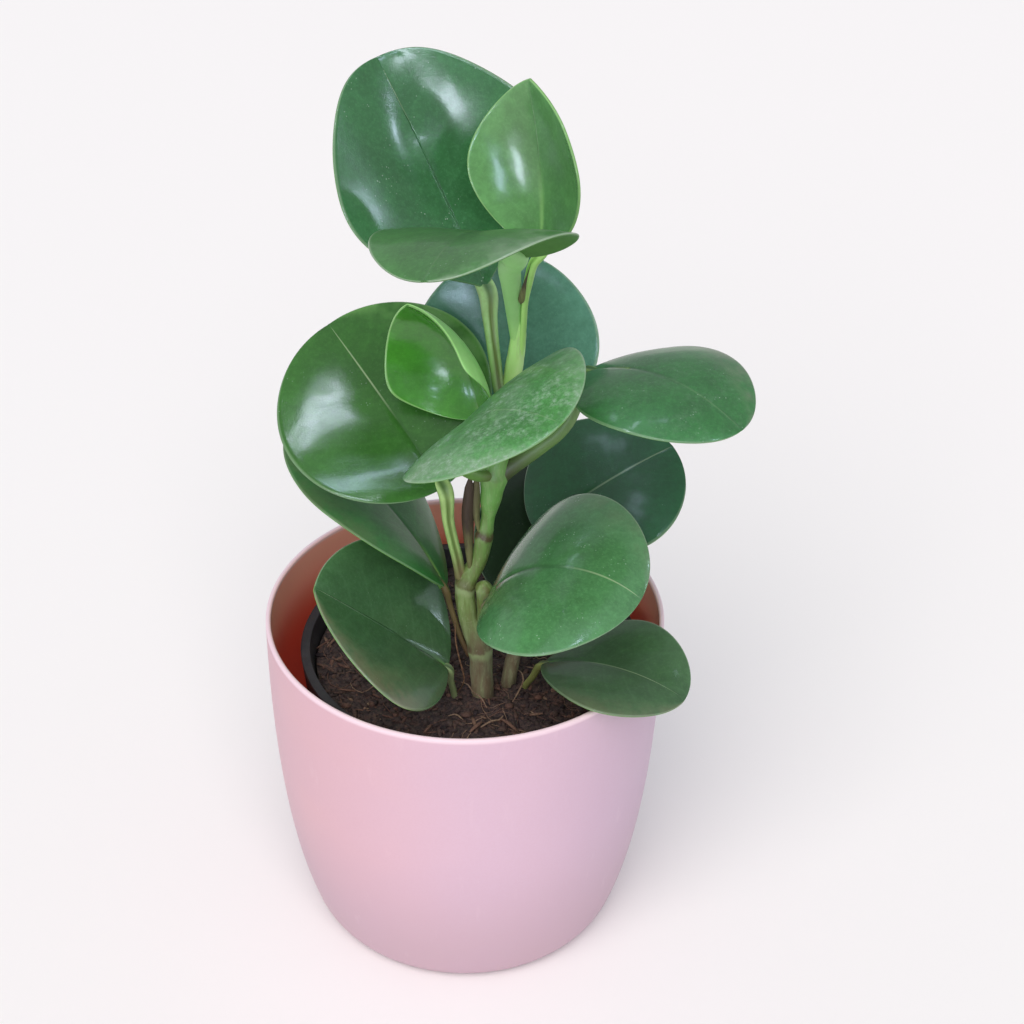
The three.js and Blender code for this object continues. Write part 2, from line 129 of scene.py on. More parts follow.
def makeSoftBox(name, heading, rise, width, height, watts, color, spin=0):
    light = bpy.data.lights.new(name, "AREA")
    light.shape = "RECTANGLE"
    light.size, light.size_y = width * mm, height * mm
    light.energy = watts
    light.color = paint(*color)[:3]
    box = addObject(name, light)
    out = outwards(heading, rise)
    box.location = (Vector(viewpoint["aim"]) + out * studio["boxDistance"]) * mm
    facing = out.to_track_quat("Z", "Y") @ Quaternion((0, 0, 1), math.radians(spin))
    box.rotation_euler = facing.to_euler()
    box.visible_diffuse = False


def makeSun():
    sun = studio["sun"]
    light = bpy.data.lights.new("broadSun", "SUN")
    light.energy = sun["strength"]
    light.angle = math.radians(sun["spread"])
    light.color = paint(*sun["color"])[:3]
    lamp = addObject("broadSun", light)
    lamp.rotation_euler = outwards(sun["heading"], sun["rise"]).to_track_quat("Z", "Y").to_euler()
    lamp.visible_glossy = False


def makeLight():
    makeSun()
    for name, box in studio["softBoxes"].items():
        makeSoftBox(name, *box)
    world = bpy.data.worlds.new("studio")
    world.use_nodes = True
    sky = world.node_tree.nodes["Background"]
    sky.inputs["Color"].default_value = paint(*studio["skyColor"])
    sky.inputs["Strength"].default_value = studio["skyStrength"]
    bpy.context.scene.world = world
    bpy.context.scene.view_settings.view_transform = "Standard"
    print("lights hung:", len(studio["softBoxes"]), "soft boxes and a broad sun")


# Shader sums: a Wire is one socket, and sums on wires add the nodes that work them out

class Wire:
    def __init__(self, look, socket):
        self.look = look
        self.socket = socket

    def __add__(self, other):
        return self.look.sum("ADD", self, other)

    def __sub__(self, other):
        return self.look.sum("SUBTRACT", self, other)

    def __mul__(self, other):
        return self.look.sum("MULTIPLY", self, other)

    def __truediv__(self, other):
        return self.look.sum("DIVIDE", self, other)

    def __pow__(self, other):
        return self.look.sum("POWER", self, other)

    def __radd__(self, other):
        return self.look.sum("ADD", other, self)

    def __rsub__(self, other):
        return self.look.sum("SUBTRACT", other, self)

    def __abs__(self):
        return self.look.sum("ABSOLUTE", self)

    def fraction(self):
        return self.look.sum("FRACT", self)

    def least(self, other):
        return self.look.sum("MINIMUM", self, other)

    # 0 below low and 1 above high, with a smooth step between them; low over high turns it round
    def step(self, low, high):
        ends = (0.0, 1.0) if low <= high else (1.0, 0.0)
        return self.look.node("ShaderNodeMapRange", {"interpolation_type": "SMOOTHSTEP"},
                              {0: self, 1: min(low, high), 2: max(low, high), 3: ends[0], 4: ends[1]})


class Look:
    def __init__(self, name):
        self.material = bpy.data.materials.new(name)
        self.material.use_nodes = True
        self.tree = self.material.node_tree
        self.surface = self.tree.nodes["Principled BSDF"]
        self.place = self.node("ShaderNodeTexCoord", output="Object")

    # any node: its settings first, then the values or wires of its sockets
    def node(self, kind, settings=None, sockets=None, output=0):
        node = self.tree.nodes.new(kind)
        for name, value in (settings or {}).items():
            if name == "stops":
                self.setStops(node.color_ramp.elements, value)
            else:
                setattr(node, name, value)
        for key, value in (sockets or {}).items():
            self.plug(node.inputs[key], value)
        return Wire(self, node.outputs[output])

    def setStops(self, elements, stops):
        while len(elements) < len(stops):
            elements.new(1.0)
        for element, (position, color) in zip(elements, stops):
            element.position = position
            element.color = paint(*color)

    def plug(self, socket, value):
        if isinstance(value, Wire):
            self.tree.links.new(value.socket, socket)
        elif socket.type == "VECTOR" and isinstance(value, (int, float)):
            socket.default_value = (value, value, value)
        else:
            socket.default_value = value

    # numbers go through Math nodes, vectors through Vector Math
    def sum(self, operation, *values):
        vector = any(isinstance(value, tuple) or isinstance(value, Wire) and value.socket.type == "VECTOR"
                     for value in values)
        kind = "ShaderNodeVectorMath" if vector else "ShaderNodeMath"
        return self.node(kind, {"operation": operation}, dict(enumerate(values)))

    # mixes two colours, each a wire or the red, green and blue of a paint from 0 to 255
    def mix(self, share, first, second):
        first, second = (paint(*color) if isinstance(color, tuple) else color for color in (first, second))
        return self.node("ShaderNodeMix", {"data_type": "RGBA"}, {0: share, 6: first, 7: second}, output=2)

    # lays coats of colour over a first one, each with its share
    def coats(self, color, *coats):
        for share, coat in coats:
            color = self.mix(share, color, coat)
        return color

    def worn(self, name):
        return self.node("ShaderNodeAttribute", {"attribute_name": name}, output="Fac")

    # soft clouds, with a size in millimetres
    def clouds(self, size, detail=3.0, roughness=0.55, stretch=(1, 1, 1)):
        spot = self.place * tuple(s / (size * mm) for s in stretch)
        return self.node("ShaderNodeTexNoise", {"noise_dimensions": "3D"},
                         {"Vector": spot, "Scale": 1.0, "Detail": detail, "Roughness": roughness})

    # round grains: the distance to the nearest grain, with grains about size apart in millimetres
    def grains(self, size):
        return self.node("ShaderNodeTexVoronoi", {"feature": "F1"},
                         {"Vector": self.place * (1 / (size * mm)), "Scale": 1.0, "Randomness": 1.0})

    # one coordinate of a point on the piece, in millimetres
    def coordinate(self, axis):
        return self.node("ShaderNodeSeparateXYZ", {}, {"Vector": self.place}, output=axis) / mm

    def bump(self, height, depth, strength=1.0):
        sockets = {"Height": height, "Distance": depth * mm, "Strength": strength}
        return self.node("ShaderNodeBump", {}, sockets)

    def finish(self, sockets):
        for name, value in sockets.items():
            self.plug(self.surface.inputs[name], value)
        return self.material


# Mesh tools

def makeObject(name, points, faces, material=None, worn=None, sharpAngle=None):
    mesh = bpy.data.meshes.new(name)
    mesh.from_pydata([Vector(point) * mm for point in points], [], faces)
    for label, values in (worn or {}).items():
        mesh.attributes.new(label, "FLOAT", "POINT").data.foreach_set("value", values)
    if material:
        mesh.materials.append(material)
    shell = bmesh.new()
    shell.from_mesh(mesh)
    bmesh.ops.recalc_face_normals(shell, faces=shell.faces)
    shell.to_mesh(mesh)
    shell.free()
    mesh.shade_smooth()
    if sharpAngle:
        mesh.set_sharp_from_angle(angle=math.radians(sharpAngle))
    return addObject(name, mesh)


def place(piece, slot, *nodes):
    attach(piece, "root")
    if nodes:
        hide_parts(*nodes)


def lerp(a, b, share):
    return a + (b - a) * share


def between(low, value, high):
    return max(low, min(high, value))


def bell(distance, width):
    return math.exp(-(distance / width) ** 2)


# the cosine and sine of each of the even steps round a circle
def circle(sides):
    return [(math.cos(turn), math.sin(turn)) for turn in (2 * math.pi * j / sides for j in range(sides))]


# triangles from a middle point to a ring
def fan(middle, sides, start=0):
    return [(middle, start + j, start + (j + 1) % sides) for j in range(sides)]


# faces of a skin over rings of equal length, closed round each ring and over both ends
def skinOf(ringCount, ringSize, start=0):
    faces = []
    for i in range(ringCount - 1):
        low, high = start + i * ringSize, start + (i + 1) * ringSize
        for j in range(ringSize):
            k = (j + 1) % ringSize
            faces.append((low + j, low + k, high + k, high + j))
    faces.append(tuple(start + j for j in reversed(range(ringSize))))
    last = start + (ringCount - 1) * ringSize
    faces.append(tuple(last + j for j in range(ringSize)))
    return faces


# a body turned about Z from a profile that starts and ends on the axis
def turnedBody(profile, sides, offsetX=0.0):
    inner = profile[1:-1]
    points = []
    for radius, height in inner:
        points += [(offsetX + radius * x, radius * y, height) for x, y in circle(sides)]
    faces = skinOf(len(inner), sides)[:-2]
    for (_, height), ring in ((profile[0], 0), (profile[-1], len(inner) - 1)):
        faces += fan(len(points), sides, ring * sides)
        points.append((offsetX, 0, height))
    return points, faces


# even steps along a smooth curve through the points, with the curve's own place at each given point
def smoothPath(points, step):
    knots = [Vector(p) for p in points]
    knots = [2 * knots[0] - knots[1], *knots, 2 * knots[-1] - knots[-2]]
    dense = []
    for window in zip(knots, knots[1:], knots[2:], knots[3:]):
        times = [0.0]
        for a, b in zip(window, window[1:]):
            times.append(times[-1] + (b - a).length ** 0.5)
        count = max(6, int((window[2] - window[1]).length * 3))
        for i in range(count):
            t, row = lerp(times[1], times[2], i / count), window
            # each pass blends neighbours by time, over one span, then two, then one
            for spans in ([(0, 1), (1, 2), (2, 3)], [(0, 2), (1, 3)], [(1, 2)]):
                shares = [(t - times[a]) / (times[b] - times[a]) for a, b in spans]
                row = [row[k] * (1 - part) + row[k + 1] * part for k, part in enumerate(shares)]
            dense.append(row[0])
    dense.append(knots[-2])
    reach = [0.0]
    for a, b in zip(dense, dense[1:]):
        reach.append(reach[-1] + (b - a).length)
    total = reach[-1]
    count = max(4, round(total / step))
    path, i = [], 0
    for n in range(count + 1):
        target = total * n / count
        while i < len(reach) - 2 and reach[i + 1] < target:
            i += 1
        span = reach[i + 1] - reach[i] or 1.0
        path.append(dense[i].lerp(dense[i + 1], between(0, (target - reach[i]) / span, 1)))
    passed = [min(range(len(dense)), key=lambda k: (dense[k] - knot).length) for knot in knots[1:-1]]
    return path, total, [reach[k] for k in passed]


# side and up directions along a path that turn as little as they can, starting from a given up
def framesAlong(path, up):
    frames = []
    for i, point in enumerate(path):
        ahead = (path[min(i + 1, len(path) - 1)] - path[max(i - 1, 0)]).normalized()
        up = (up - ahead * up.dot(ahead)).normalized()
        frames.append((point, ahead.cross(up), up))
    return frames


# Cover pot

coverPot = {
    "height": 126, "rimRadius": 70, "wall": 1.8, "floor": 3,
    "shoulderRadius": 57.8, "shoulderHeight": 8.5,  # where the belly turns in towards the base
    "turnInRadius": 55.4, "baseRadius": 50,
    "bellyLow": (66, 34), "bellyHigh": (70, 75),  # the two points that shape the belly's curve
    "footWidth": 5, "footHeight": 0.8,  # ring that it stands on
    "sides": 192, "bellySteps": 56, "cornerSteps": 12,
    # the warmer and cooler colours are painted light and shade on the two sides, and the low colour is
    # painted shade towards the foot; the cooler one also tints the slow mottle
    "outside": (218, 186, 205), "paintedWarmLight": (222, 179, 189), "paintedShadeAndMottle": (208, 180, 202), "low": (197, 167, 180),
    "speckle": (205, 158, 172), "scuff": (246, 222, 230),
    # the inner wall is painted a saturated terracotta, deeper further down, as painted reflection of light
    # bounced round inside the pink pot and as painted shade; the lip colour is painted light on the rounded
    # lip
    "inside": (250, 172, 152), "paintedBounceDeepInside": (214, 76, 52), "lip": (240, 214, 226),
    "paintedGlow": (70, 20, 15),  # painted glow: light given off by the deep inner wall, standing in for light that comes through the thin wall and lights its inner side
}


def bezier(points, steps):
    spots = [Vector(p) for p in points]
    curve = []
    for i in range(steps + 1):
        row, t = spots, i / steps
        while len(row) > 1:
            row = [a.lerp(b, t) for a, b in zip(row, row[1:])]
        curve.append(tuple(row[0]))
    return curve


def coverPotProfile():
    pot = coverPot
    lip = pot["wall"] / 2
    top = pot["height"] - lip

    def wallLine(inset, bottom):
        base, turnIn, rim = (pot[key] - inset for key in ("baseRadius", "turnInRadius", "rimRadius"))
        shoulder = (pot["shoulderRadius"] - inset, pot["shoulderHeight"])
        belly = [(radius - inset, height) for radius, height in (pot["bellyLow"], pot["bellyHigh"])]
        corner = bezier([(base, bottom), (turnIn, bottom), shoulder], pot["cornerSteps"])
        return corner + bezier([shoulder, *belly, (rim, top)], pot["bellySteps"])[1:]

    footInner = pot["baseRadius"] - pot["footWidth"]
    foot = [(0, pot["footHeight"]), (footInner - 1, pot["footHeight"]), (footInner, 0)]
    rounded = []
    for i in range(1, pot["cornerSteps"]):
        turn = math.pi * i / pot["cornerSteps"]
        rounded.append((pot["rimRadius"] - lip + lip * math.cos(turn), top + lip * math.sin(turn)))
    inner = wallLine(pot["wall"], pot["floor"])[::-1]
    return foot + wallLine(0, 0) + rounded + inner + [(0, pot["floor"])]


def satinPink():
    look = Look("satinPinkPlastic")
    pot = coverPot
    x, y, height = (look.coordinate(axis) for axis in range(3))
    fromAxis = (x * x + y * y) ** 0.5
    mottle = look.clouds(34, 3, 0.5).step(0.35, 0.65)
    speckle = look.clouds(0.9, 2, 0.6).step(0.42, 0.6)
    scuffs = look.clouds(7, 4, 0.7, (1, 1, 0.25)).step(0.6, 0.72) * fromAxis.step(56, 60)
    inside = look.worn("inside")
    inner = inside.step(0.3, 0.9)
    # painted shade: the inner wall darkens further down, and the lip is painted lighter as painted light
    deep = height.step(pot["height"] - 3, pot["height"] - 34)
    rim = height.step(pot["height"] - 2.2, pot["height"] - 0.8) * (1 - inside * 0.35)
    # painted light and shade: the -X side is painted warmer as if lit from there, the +X side cooler and
    # darker as painted shade, and the part towards the foot darker as painted shade
    color = look.coats(look.mix(x.step(12, -58), pot["outside"], pot["paintedWarmLight"]), (x.step(14, 64), pot["paintedShadeAndMottle"]))
    color = look.coats(color, (height.step(76, 8), look.mix(0.9, color, pot["low"])),
                       (mottle * 0.12, pot["paintedShadeAndMottle"]), (speckle * 0.06, pot["speckle"]),
                       (inner, look.mix(deep, pot["inside"], pot["paintedBounceDeepInside"])),
                       (rim, pot["lip"]), (scuffs * 0.05, pot["scuff"]))
    grain, wobble = look.clouds(0.35, 2, 0.6), look.clouds(18, 2, 0.5)
    return look.finish({
        "Base Color": color,
        # painted glow from the deep inner wall
        "Emission Color": look.mix(inner * deep, (0, 0, 0), pot["paintedGlow"]),
        "Emission Strength": 1.0,
        "Roughness": 0.46 + mottle * 0.06 - scuffs * 0.10,
        "Normal": look.bump(grain * 0.35 + wobble * 2.0, 0.05, 0.6),
        "Specular IOR Level": 0.42,
        "Coat Weight": 0.12,
        "Coat Roughness": 0.35,
    })


def makeCoverPot():
    profile = coverPotProfile()
    points, faces = turnedBody(profile, coverPot["sides"])
    lipPlace = max(range(len(profile)), key=lambda i: profile[i][1])
    inside = []
    for row in range(1, len(profile) - 1):
        inside += [between(0.0, (row - lipPlace) / 3, 1.0)] * coverPot["sides"]
    inside += [0.0, 1.0]  # the two points on the axis
    pot = makeObject("coverPot", points, faces, satinPink(), {"inside": inside}, sharpAngle=50)
    place(pot, "cover_pot", "cover_pot")
    print("cover pot turned:", len(faces), "faces")


# Nursery pot

nurseryPot = {
    "offsetX": 1.7, "rimHeight": 112.6, "rimRadius": 60, "lip": 3.4,
    "bandHeight": 14, "bandBottomRadius": 58.6,
    "bodyTopRadius": 55.4, "bodyBottomRadius": 42, "wall": 1.2, "bottom": 3.3,
    "lipRound": 0.45, "edge": 1.5, "ridges": 3, "ridgeHeight": 0.25,  # fine rings moulded into the band
    "drainHoles": 6, "drainRadius": 3.5, "drainCircle": 27, "drillReach": 4, "drillSides": 32,
    "sides": 160, "wallSteps": 8, "bandSteps": 24, "lipSteps": 4,
    # a thin lip is never quite round or level: waves of a height, a count round the pot and a start
    "sag": 0.55, "sagFrom": 90, "sagReach": 22, "waves": ((0.35, 2, 0.6), (0.2, 5, 0)),
    "black": (38, 36, 40), "worn": (66, 63, 68), "dust": (84, 66, 54),
}


def blackPlastic():
    look = Look("blackPotPlastic")
    cloudy = look.clouds(9, 4, 0.6).step(0.4, 0.65)
    dusty = look.clouds(1.6, 4, 0.7).step(0.56, 0.7)
    grain = look.clouds(0.5, 2, 0.6)
    return look.finish({
        "Base Color": look.coats(nurseryPot["black"], (cloudy * 0.5, nurseryPot["worn"]),
                                 (dusty * 0.35, nurseryPot["dust"])),
        "Roughness": 0.52 + dusty * 0.25 + cloudy * 0.08,
        "Normal": look.bump(grain, 0.04, 0.5),
        "Specular IOR Level": 0.4,
    })


def nurseryProfile():
    pot = nurseryPot
    bottom, bandBottom = pot["bottom"], pot["rimHeight"] - pot["bandHeight"]
    r, edge, thick = pot["lipRound"], pot["edge"], pot["wall"]
    line = [(0, bottom), (pot["bodyBottomRadius"] - edge, bottom)]

    # a straight run of wall from one radius and height to another, with the fine rings where it has them
    def run(steps, radii, heights, first=0, rings=False):
        for i in range(first, steps + 1 - rings):
            share = i / steps
            ridge = max(0.0, math.sin(share * math.pi * 2 * pot["ridges"])) ** 6 * pot["ridgeHeight"] * rings
            line.append((lerp(*radii, share) - ridge, lerp(*heights, share)))

    run(pot["wallSteps"], (pot["bodyBottomRadius"], pot["bodyTopRadius"]), (bottom + edge, bandBottom))
    line.append((pot["bandBottomRadius"] - 0.3, bandBottom))
    line.append((pot["bandBottomRadius"], bandBottom + 0.4))
    run(pot["bandSteps"], (pot["bandBottomRadius"], pot["rimRadius"] - 0.1),
        (bandBottom + 0.4, pot["rimHeight"] - 2 * r), 1, True)
    innerRadius = pot["rimRadius"] - pot["lip"]
    for corner, first in ((pot["rimRadius"] - r, 0), (innerRadius + r, 90)):
        for i in range(pot["lipSteps"] + 1):
            turn = math.radians(first + 90 * i / pot["lipSteps"])
            line.append((corner + r * math.cos(turn), pot["rimHeight"] - r + r * math.sin(turn)))
    run(pot["wallSteps"], (innerRadius, pot["bodyTopRadius"] - thick), (pot["rimHeight"] - r, bandBottom), 1)
    return [*line, (pot["bodyBottomRadius"] - thick, bottom + thick), (0, bottom + thick)]


def makeNurseryPot():
    pot = nurseryPot
    points, faces = turnedBody(nurseryProfile(), pot["sides"], pot["offsetX"])
    bent = []
    for x, y, z in points:
        turn = math.atan2(y, x)
        share = between(0, (z - pot["sagFrom"]) / pot["sagReach"], 1)
        dip = sum(height * math.sin(waves * turn + start) for height, waves, start in pot["waves"])
        bent.append((x, y, z - share * (pot["sag"] + dip)))
    shell = makeObject("nurseryPot", bent, faces, blackPlastic(), sharpAngle=38)
    radius, reach = pot["drainRadius"], pot["drillReach"]
    drill = turnedBody([(0, -reach), (radius, -reach), (radius, reach), (0, reach)], pot["drillSides"])
    cutters = []
    for i, (x, y) in enumerate(circle(pot["drainHoles"])):
        cutter = makeObject(f"drain{i}", *drill)
        across, along = pot["drainCircle"] * x, pot["drainCircle"] * y
        cutter.location = Vector((pot["offsetX"] + across, along, pot["bottom"])) * mm
        hole = shell.modifiers.new(cutter.name, "BOOLEAN")
        hole.operation, hole.solver, hole.object = "DIFFERENCE", "EXACT", cutter
        cutters.append(cutter)
    applyModifiers(shell)
    for cutter in cutters:
        bpy.data.objects.remove(cutter)
    place(shell, "nursery_pot", "nursery_pot")
    print("nursery pot made with", pot["drainHoles"], "drain holes")


def applyModifiers(piece):
    bpy.context.view_layer.update()
    shaped = piece.evaluated_get(bpy.context.evaluated_depsgraph_get())
    mesh = bpy.data.meshes.new_from_object(shaped)
    piece.modifiers.clear()
    piece.data = mesh


# Soil, with the bark, crumbs and fibres that lie on it

soil = {
    "offsetX": 1.7, "topHeight": 104.6, "topRadius": 54.6, "bottomRadius": 40.5, "bottom": 4.8,
    "clod": 0.9, "clodWaves": (0.31, 0.27, 0.12, 0.53, 0.4), "mound": 1.2,
    "crumbHeight": 0.825, "crumbSize": 4.2,  # lumps that the coarse clods don't show
    "grainHeight": 0.25, "grainSize": 1.1,
    "rings": 120, "sides": 300, "edgeDrop": 1.5, "flanks": (0.15, 0.45, 1.0), "scatter": 0.985,
    "dark": (48, 41, 45), "brown": (80, 66, 64), "red": (108, 79, 70), "pale": (150, 126, 108),
    "crack": (30, 22, 20),
    "crumbs": 2300, "crumbReach": (0.5, 1.9), "crumbBias": 2.4,  # a higher bias makes more small ones
    "splinters": 420, "splinterLength": (2.5, 9), "splinterWidth": (0.35, 1.0), "splinterLift": 0.25,
    "fibres": 150, "fibreLength": (5, 20), "fibreRadius": (0.08, 0.2), "fibreSteps": 9,
    "fibreSides": 5, "strandSides": 8,
    "seed": 11,
}

# strands that stand out, each as points over the soil with the height of each above it, and a radius
strands = {
    "reddishChipLeft": ([(1.6, -42.5, 0.8), (3.9, -39.6, 1.6), (5.8, -37.1, 1.2)], 0.75),
    "tanStrandMiddle": ([(5.4, -40.3, 1.2), (9, -38, 1.9), (12, -36, 1.6), (13.1, -33.9, 0.9)], 0.42),
    "reddishChipRight": ([(12.4, -35.5, 1.4), (15, -38.4, 1.9), (18, -41.4, 1.0)], 0.8),
    "tanStrandLeft": ([(-5.9, -33.3, 0.8), (-3.1, -33.4, 1.3), (-0.5, -34.9, 0.7)], 0.35),
    "paleRootFront": ([(-1.3, -17.8, 2.2), (0.9, -20.1, 2.6), (3, -23.4, 2.0), (5.5, -25.6, 1.5),
                       (7.6, -29.5, 0.6)], 0.32),
    "reddishRootRight": ([(17.8, -9.9, 1.8), (19.9, -13.4, 2.6), (20.4, -16.7, 2.2), (18.7, -21.7, 1.6),
                          (16.5, -26.2, 0.5)], 0.3),
    "tanBitRight": ([(21.5, -6.5, 1.2), (23.4, -8.4, 2.2), (25.8, -8.4, 0.9)], 0.34),
    "chipFarLeft": ([(-49.5, 5.8, 0.6), (-46.6, 9, 1.4), (-43.4, 13.3, 0.8)], 0.5),
}

# a thin root that curls down to the soil from the foot of the low left leaf's stalk
curlyRoot = {
    "points": [(-3.4, -20.4, 137), (-3.2, -22, 130), (-2.2, -23.4, 124.5), (-0.9, -24.2, 119),
               (-0.3, -24, 114.5), (-1.1, -23, 110.5), (-2.8, -21.6, 106.5)],
    "radius": 0.28, "sides": 8,
    "color": (128, 98, 74), "dark": (92, 66, 50),
}


def soilHeight(x, y):
    a, b, c, d, e = soil["clodWaves"]
    across = x - soil["offsetX"]
    far = min(1.0, math.hypot(across, y) / soil["topRadius"])
    clods = math.sin(a * across + 1) * math.cos(b * y - c * across) + math.sin(d * y + e * across) / 2
    height = soil["topHeight"] + soil["mound"] * (1 - far ** 2) + soil["clod"] * clods * (1 - far ** 4)
    crumb = noise.fractal(Vector((x, y, 3.1)) / soil["crumbSize"], 0.9, 2.1, 4)
    grain = noise.fractal(Vector((x, y, 9.7)) / soil["grainSize"], 0.8, 2.0, 2)
    return height + soil["crumbHeight"] * crumb + soil["grainHeight"] * grain


def dampSoil():
    look = Look("dampPottingSoil")
    lumps, fine = look.clouds(5, 5, 0.65), look.clouds(1.1, 5, 0.7)
    specks = look.grains(0.9).step(0.22, 0.1) * fine.step(0.5, 0.6)
    return look.finish({
        "Base Color": look.coats(soil["dark"], (fine.step(0.35, 0.62), soil["brown"]),
                                 (lumps.step(0.52, 0.7) * 0.6, soil["red"]), (specks * 0.5, soil["pale"])),
        "Roughness": 0.86 - lumps.step(0.45, 0.6) * 0.16,
        "Normal": look.bump(fine + lumps * 0.5, 0.5, 0.8),
        "Specular IOR Level": 0.3,
    })


# bits wear a tone from 0, near black, through reddish brown to 1, pale tan
def barkAndCoir():
    look = Look("barkAndCoir")
    tone = look.worn("tone")
    color = look.node("ShaderNodeValToRGB", {"stops": [
        (0.0, soil["dark"]), (0.35, soil["brown"]), (0.7, soil["red"]), (1.0, soil["pale"])]}, {"Fac": tone})
    streaks = look.clouds(0.8, 4, 0.7)
    return look.finish({
        "Base Color": look.mix(streaks.step(0.45, 0.65) * 0.45, color, soil["crack"]),
        "Roughness": 0.8 - tone * 0.1,
        "Normal": look.bump(streaks, 0.12, 0.7),
        "Specular IOR Level": 0.3,
    })


def makeSoil():
    rings, sides, offset = soil["rings"], soil["sides"], soil["offsetX"]
    points = []
    for i in range(1, rings + 1):
        for x, y in circle(sides):
            x, y = offset + soil["topRadius"] * i / rings * x, soil["topRadius"] * i / rings * y
            points.append((x, y, soilHeight(x, y)))
    for share in soil["flanks"]:
        radius = lerp(soil["topRadius"], soil["bottomRadius"], share)
        height = lerp(soil["topHeight"] - soil["edgeDrop"], soil["bottom"], share)
        points += [(offset + radius * x, radius * y, height) for x, y in circle(sides)]
    faces = skinOf(rings + 3, sides)[:-2] + fan(len(points), sides)
    points.append((offset, 0, soilHeight(offset, 0)))
    faces.append(tuple((rings + 2) * sides + j for j in range(sides)))
    place(makeObject("soilBed", points, faces, dampSoil()), "soil", "soil")
    print("soil laid:", len(faces), "faces")


def randomSpot(draw):
    far = soil["topRadius"] * math.sqrt(draw.random()) * soil["scatter"]
    turn = draw.uniform(0, 2 * math.pi)
    return soil["offsetX"] + far * math.cos(turn), far * math.sin(turn)


def makeCrumbs():
    draw = random.Random(soil["seed"])
    ball = bmesh.new()
    bmesh.ops.create_icosphere(ball, subdivisions=1, radius=1)
    shape = [v.co.copy() for v in ball.verts]
    shapeFaces = [tuple(v.index for v in face.verts) for face in ball.faces]
    ball.free()
    points, faces, tones = [], [], []
    for _ in range(soil["crumbs"]):
        x, y = randomSpot(draw)
        reach = lerp(*soil["crumbReach"], draw.random() ** soil["crumbBias"])
        stretch = Vector((draw.uniform(0.7, 1.5), draw.uniform(0.5, 1.0), draw.uniform(0.35, 0.8)))
        turn = Matrix.Rotation(draw.uniform(0, math.tau), 3, "Z")
        turn = turn @ Matrix.Rotation(draw.uniform(-0.5, 0.5), 3, "X")
        seat = Vector((x, y, soilHeight(x, y) + reach * draw.uniform(-0.2, 0.25)))
        start = len(points)
        for corner in shape:
            rough = corner * draw.uniform(0.7, 1.15)
            points.append(seat + turn @ (rough * stretch) * reach)
        faces += [tuple(start + k for k in face) for face in shapeFaces]
        tones += [between(0, draw.gauss(0.3, 0.2), 1)] * len(shape)
    place(makeObject("soilCrumbs", points, faces, barkAndCoir(), {"tone": tones}), "soil")
    print("crumbs scattered:", soil["crumbs"])


# a strand whose section tapers to both ends, laid along a path
def strandRings(path, radius, sides, flat=1.0):
    rings = []
    for i, (point, side, up) in enumerate(framesAlong(path, Vector((0.1, 0.2, 1)))):
        along = between(0.04, i / (len(path) - 1), 0.96)
        thick = radius * (0.25 + 0.75 * math.sin(math.pi * along) ** 0.5)
        rings += [point + side * thick * x + up * thick * flat * y for x, y in circle(sides)]
    return rings


def makeFibres():
    draw = random.Random(soil["seed"] + 1)
    points, faces, tones = [], [], []

    def add(path, radius, sides, tone, flat=1.0):
        faces.extend(skinOf(len(path), sides, len(points)))
        points.extend(strandRings(path, radius, sides, flat))
        tones.extend([tone] * sides * len(path))

    for _ in range(soil["splinters"]):
        x, y = randomSpot(draw)
        length = lerp(*soil["splinterLength"], draw.random() ** 2)
        heading, tilt = draw.uniform(0, math.tau), draw.uniform(-0.25, 0.25)
        ahead = Vector((math.cos(heading), math.sin(heading), tilt))
        seat = Vector((x, y, soilHeight(x, y) + soil["splinterLift"]))
        path = [seat + ahead * length * share for share in (-0.5, -0.2, 0.2, 0.5)]
        width = lerp(*soil["splinterWidth"], draw.random())
        add(path, width, soil["fibreSides"], between(0, draw.gauss(0.5, 0.2), 1), 0.5)
    for _ in range(soil["fibres"]):
        x, y = randomSpot(draw)
        heading = draw.uniform(0, math.tau)
        bend = draw.uniform(-0.35, 0.35)
        stride = lerp(*soil["fibreLength"], draw.random()) / soil["fibreSteps"]
        path = []
        for _ in range(soil["fibreSteps"] + 1):
            lift = draw.uniform(0.1, 0.7)
            path.append(Vector((x, y, soilHeight(x, y) + lift)))
            heading += bend + draw.uniform(-0.3, 0.3)
            x, y = x + stride * math.cos(heading), y + stride * math.sin(heading)
            if math.hypot(x - soil["offsetX"], y) > soil["topRadius"] - 1:
                break
        if len(path) > 3:
            radius = lerp(*soil["fibreRadius"], draw.random())
            add(path, radius, soil["fibreSides"], draw.uniform(0.55, 1.0))
    for spots, radius in strands.values():
        path, _, _ = smoothPath([(x, y, soilHeight(x, y) + lift) for x, y, lift in spots], 0.8)
        add(path, radius, soil["strandSides"], 0.95 if radius < 0.5 else 0.75, 0.6)
    place(makeObject("soilFibres", points, faces, barkAndCoir(), {"tone": tones}), "soil")
    print("splinters, fibres and strands laid on the soil")


def rootSkin():
    look = Look("dryRootSkin")
    streaks = look.clouds(1.2, 3, 0.6)
    return look.finish({
        "Base Color": look.mix(streaks.step(0.4, 0.65), curlyRoot["color"], curlyRoot["dark"]),
        "Roughness": 0.7 + streaks * 0.1,
        "Normal": look.bump(streaks, 0.06, 0.6),
    })


def makeCurlyRoot():
    path, _, _ = smoothPath(curlyRoot["points"], 0.6)
    points = strandRings(path, curlyRoot["radius"], curlyRoot["sides"])
    place(makeObject("curlyRoot", points, skinOf(len(path), curlyRoot["sides"]), rootSkin()), "stem")
    print("curly root hung")


# Stems

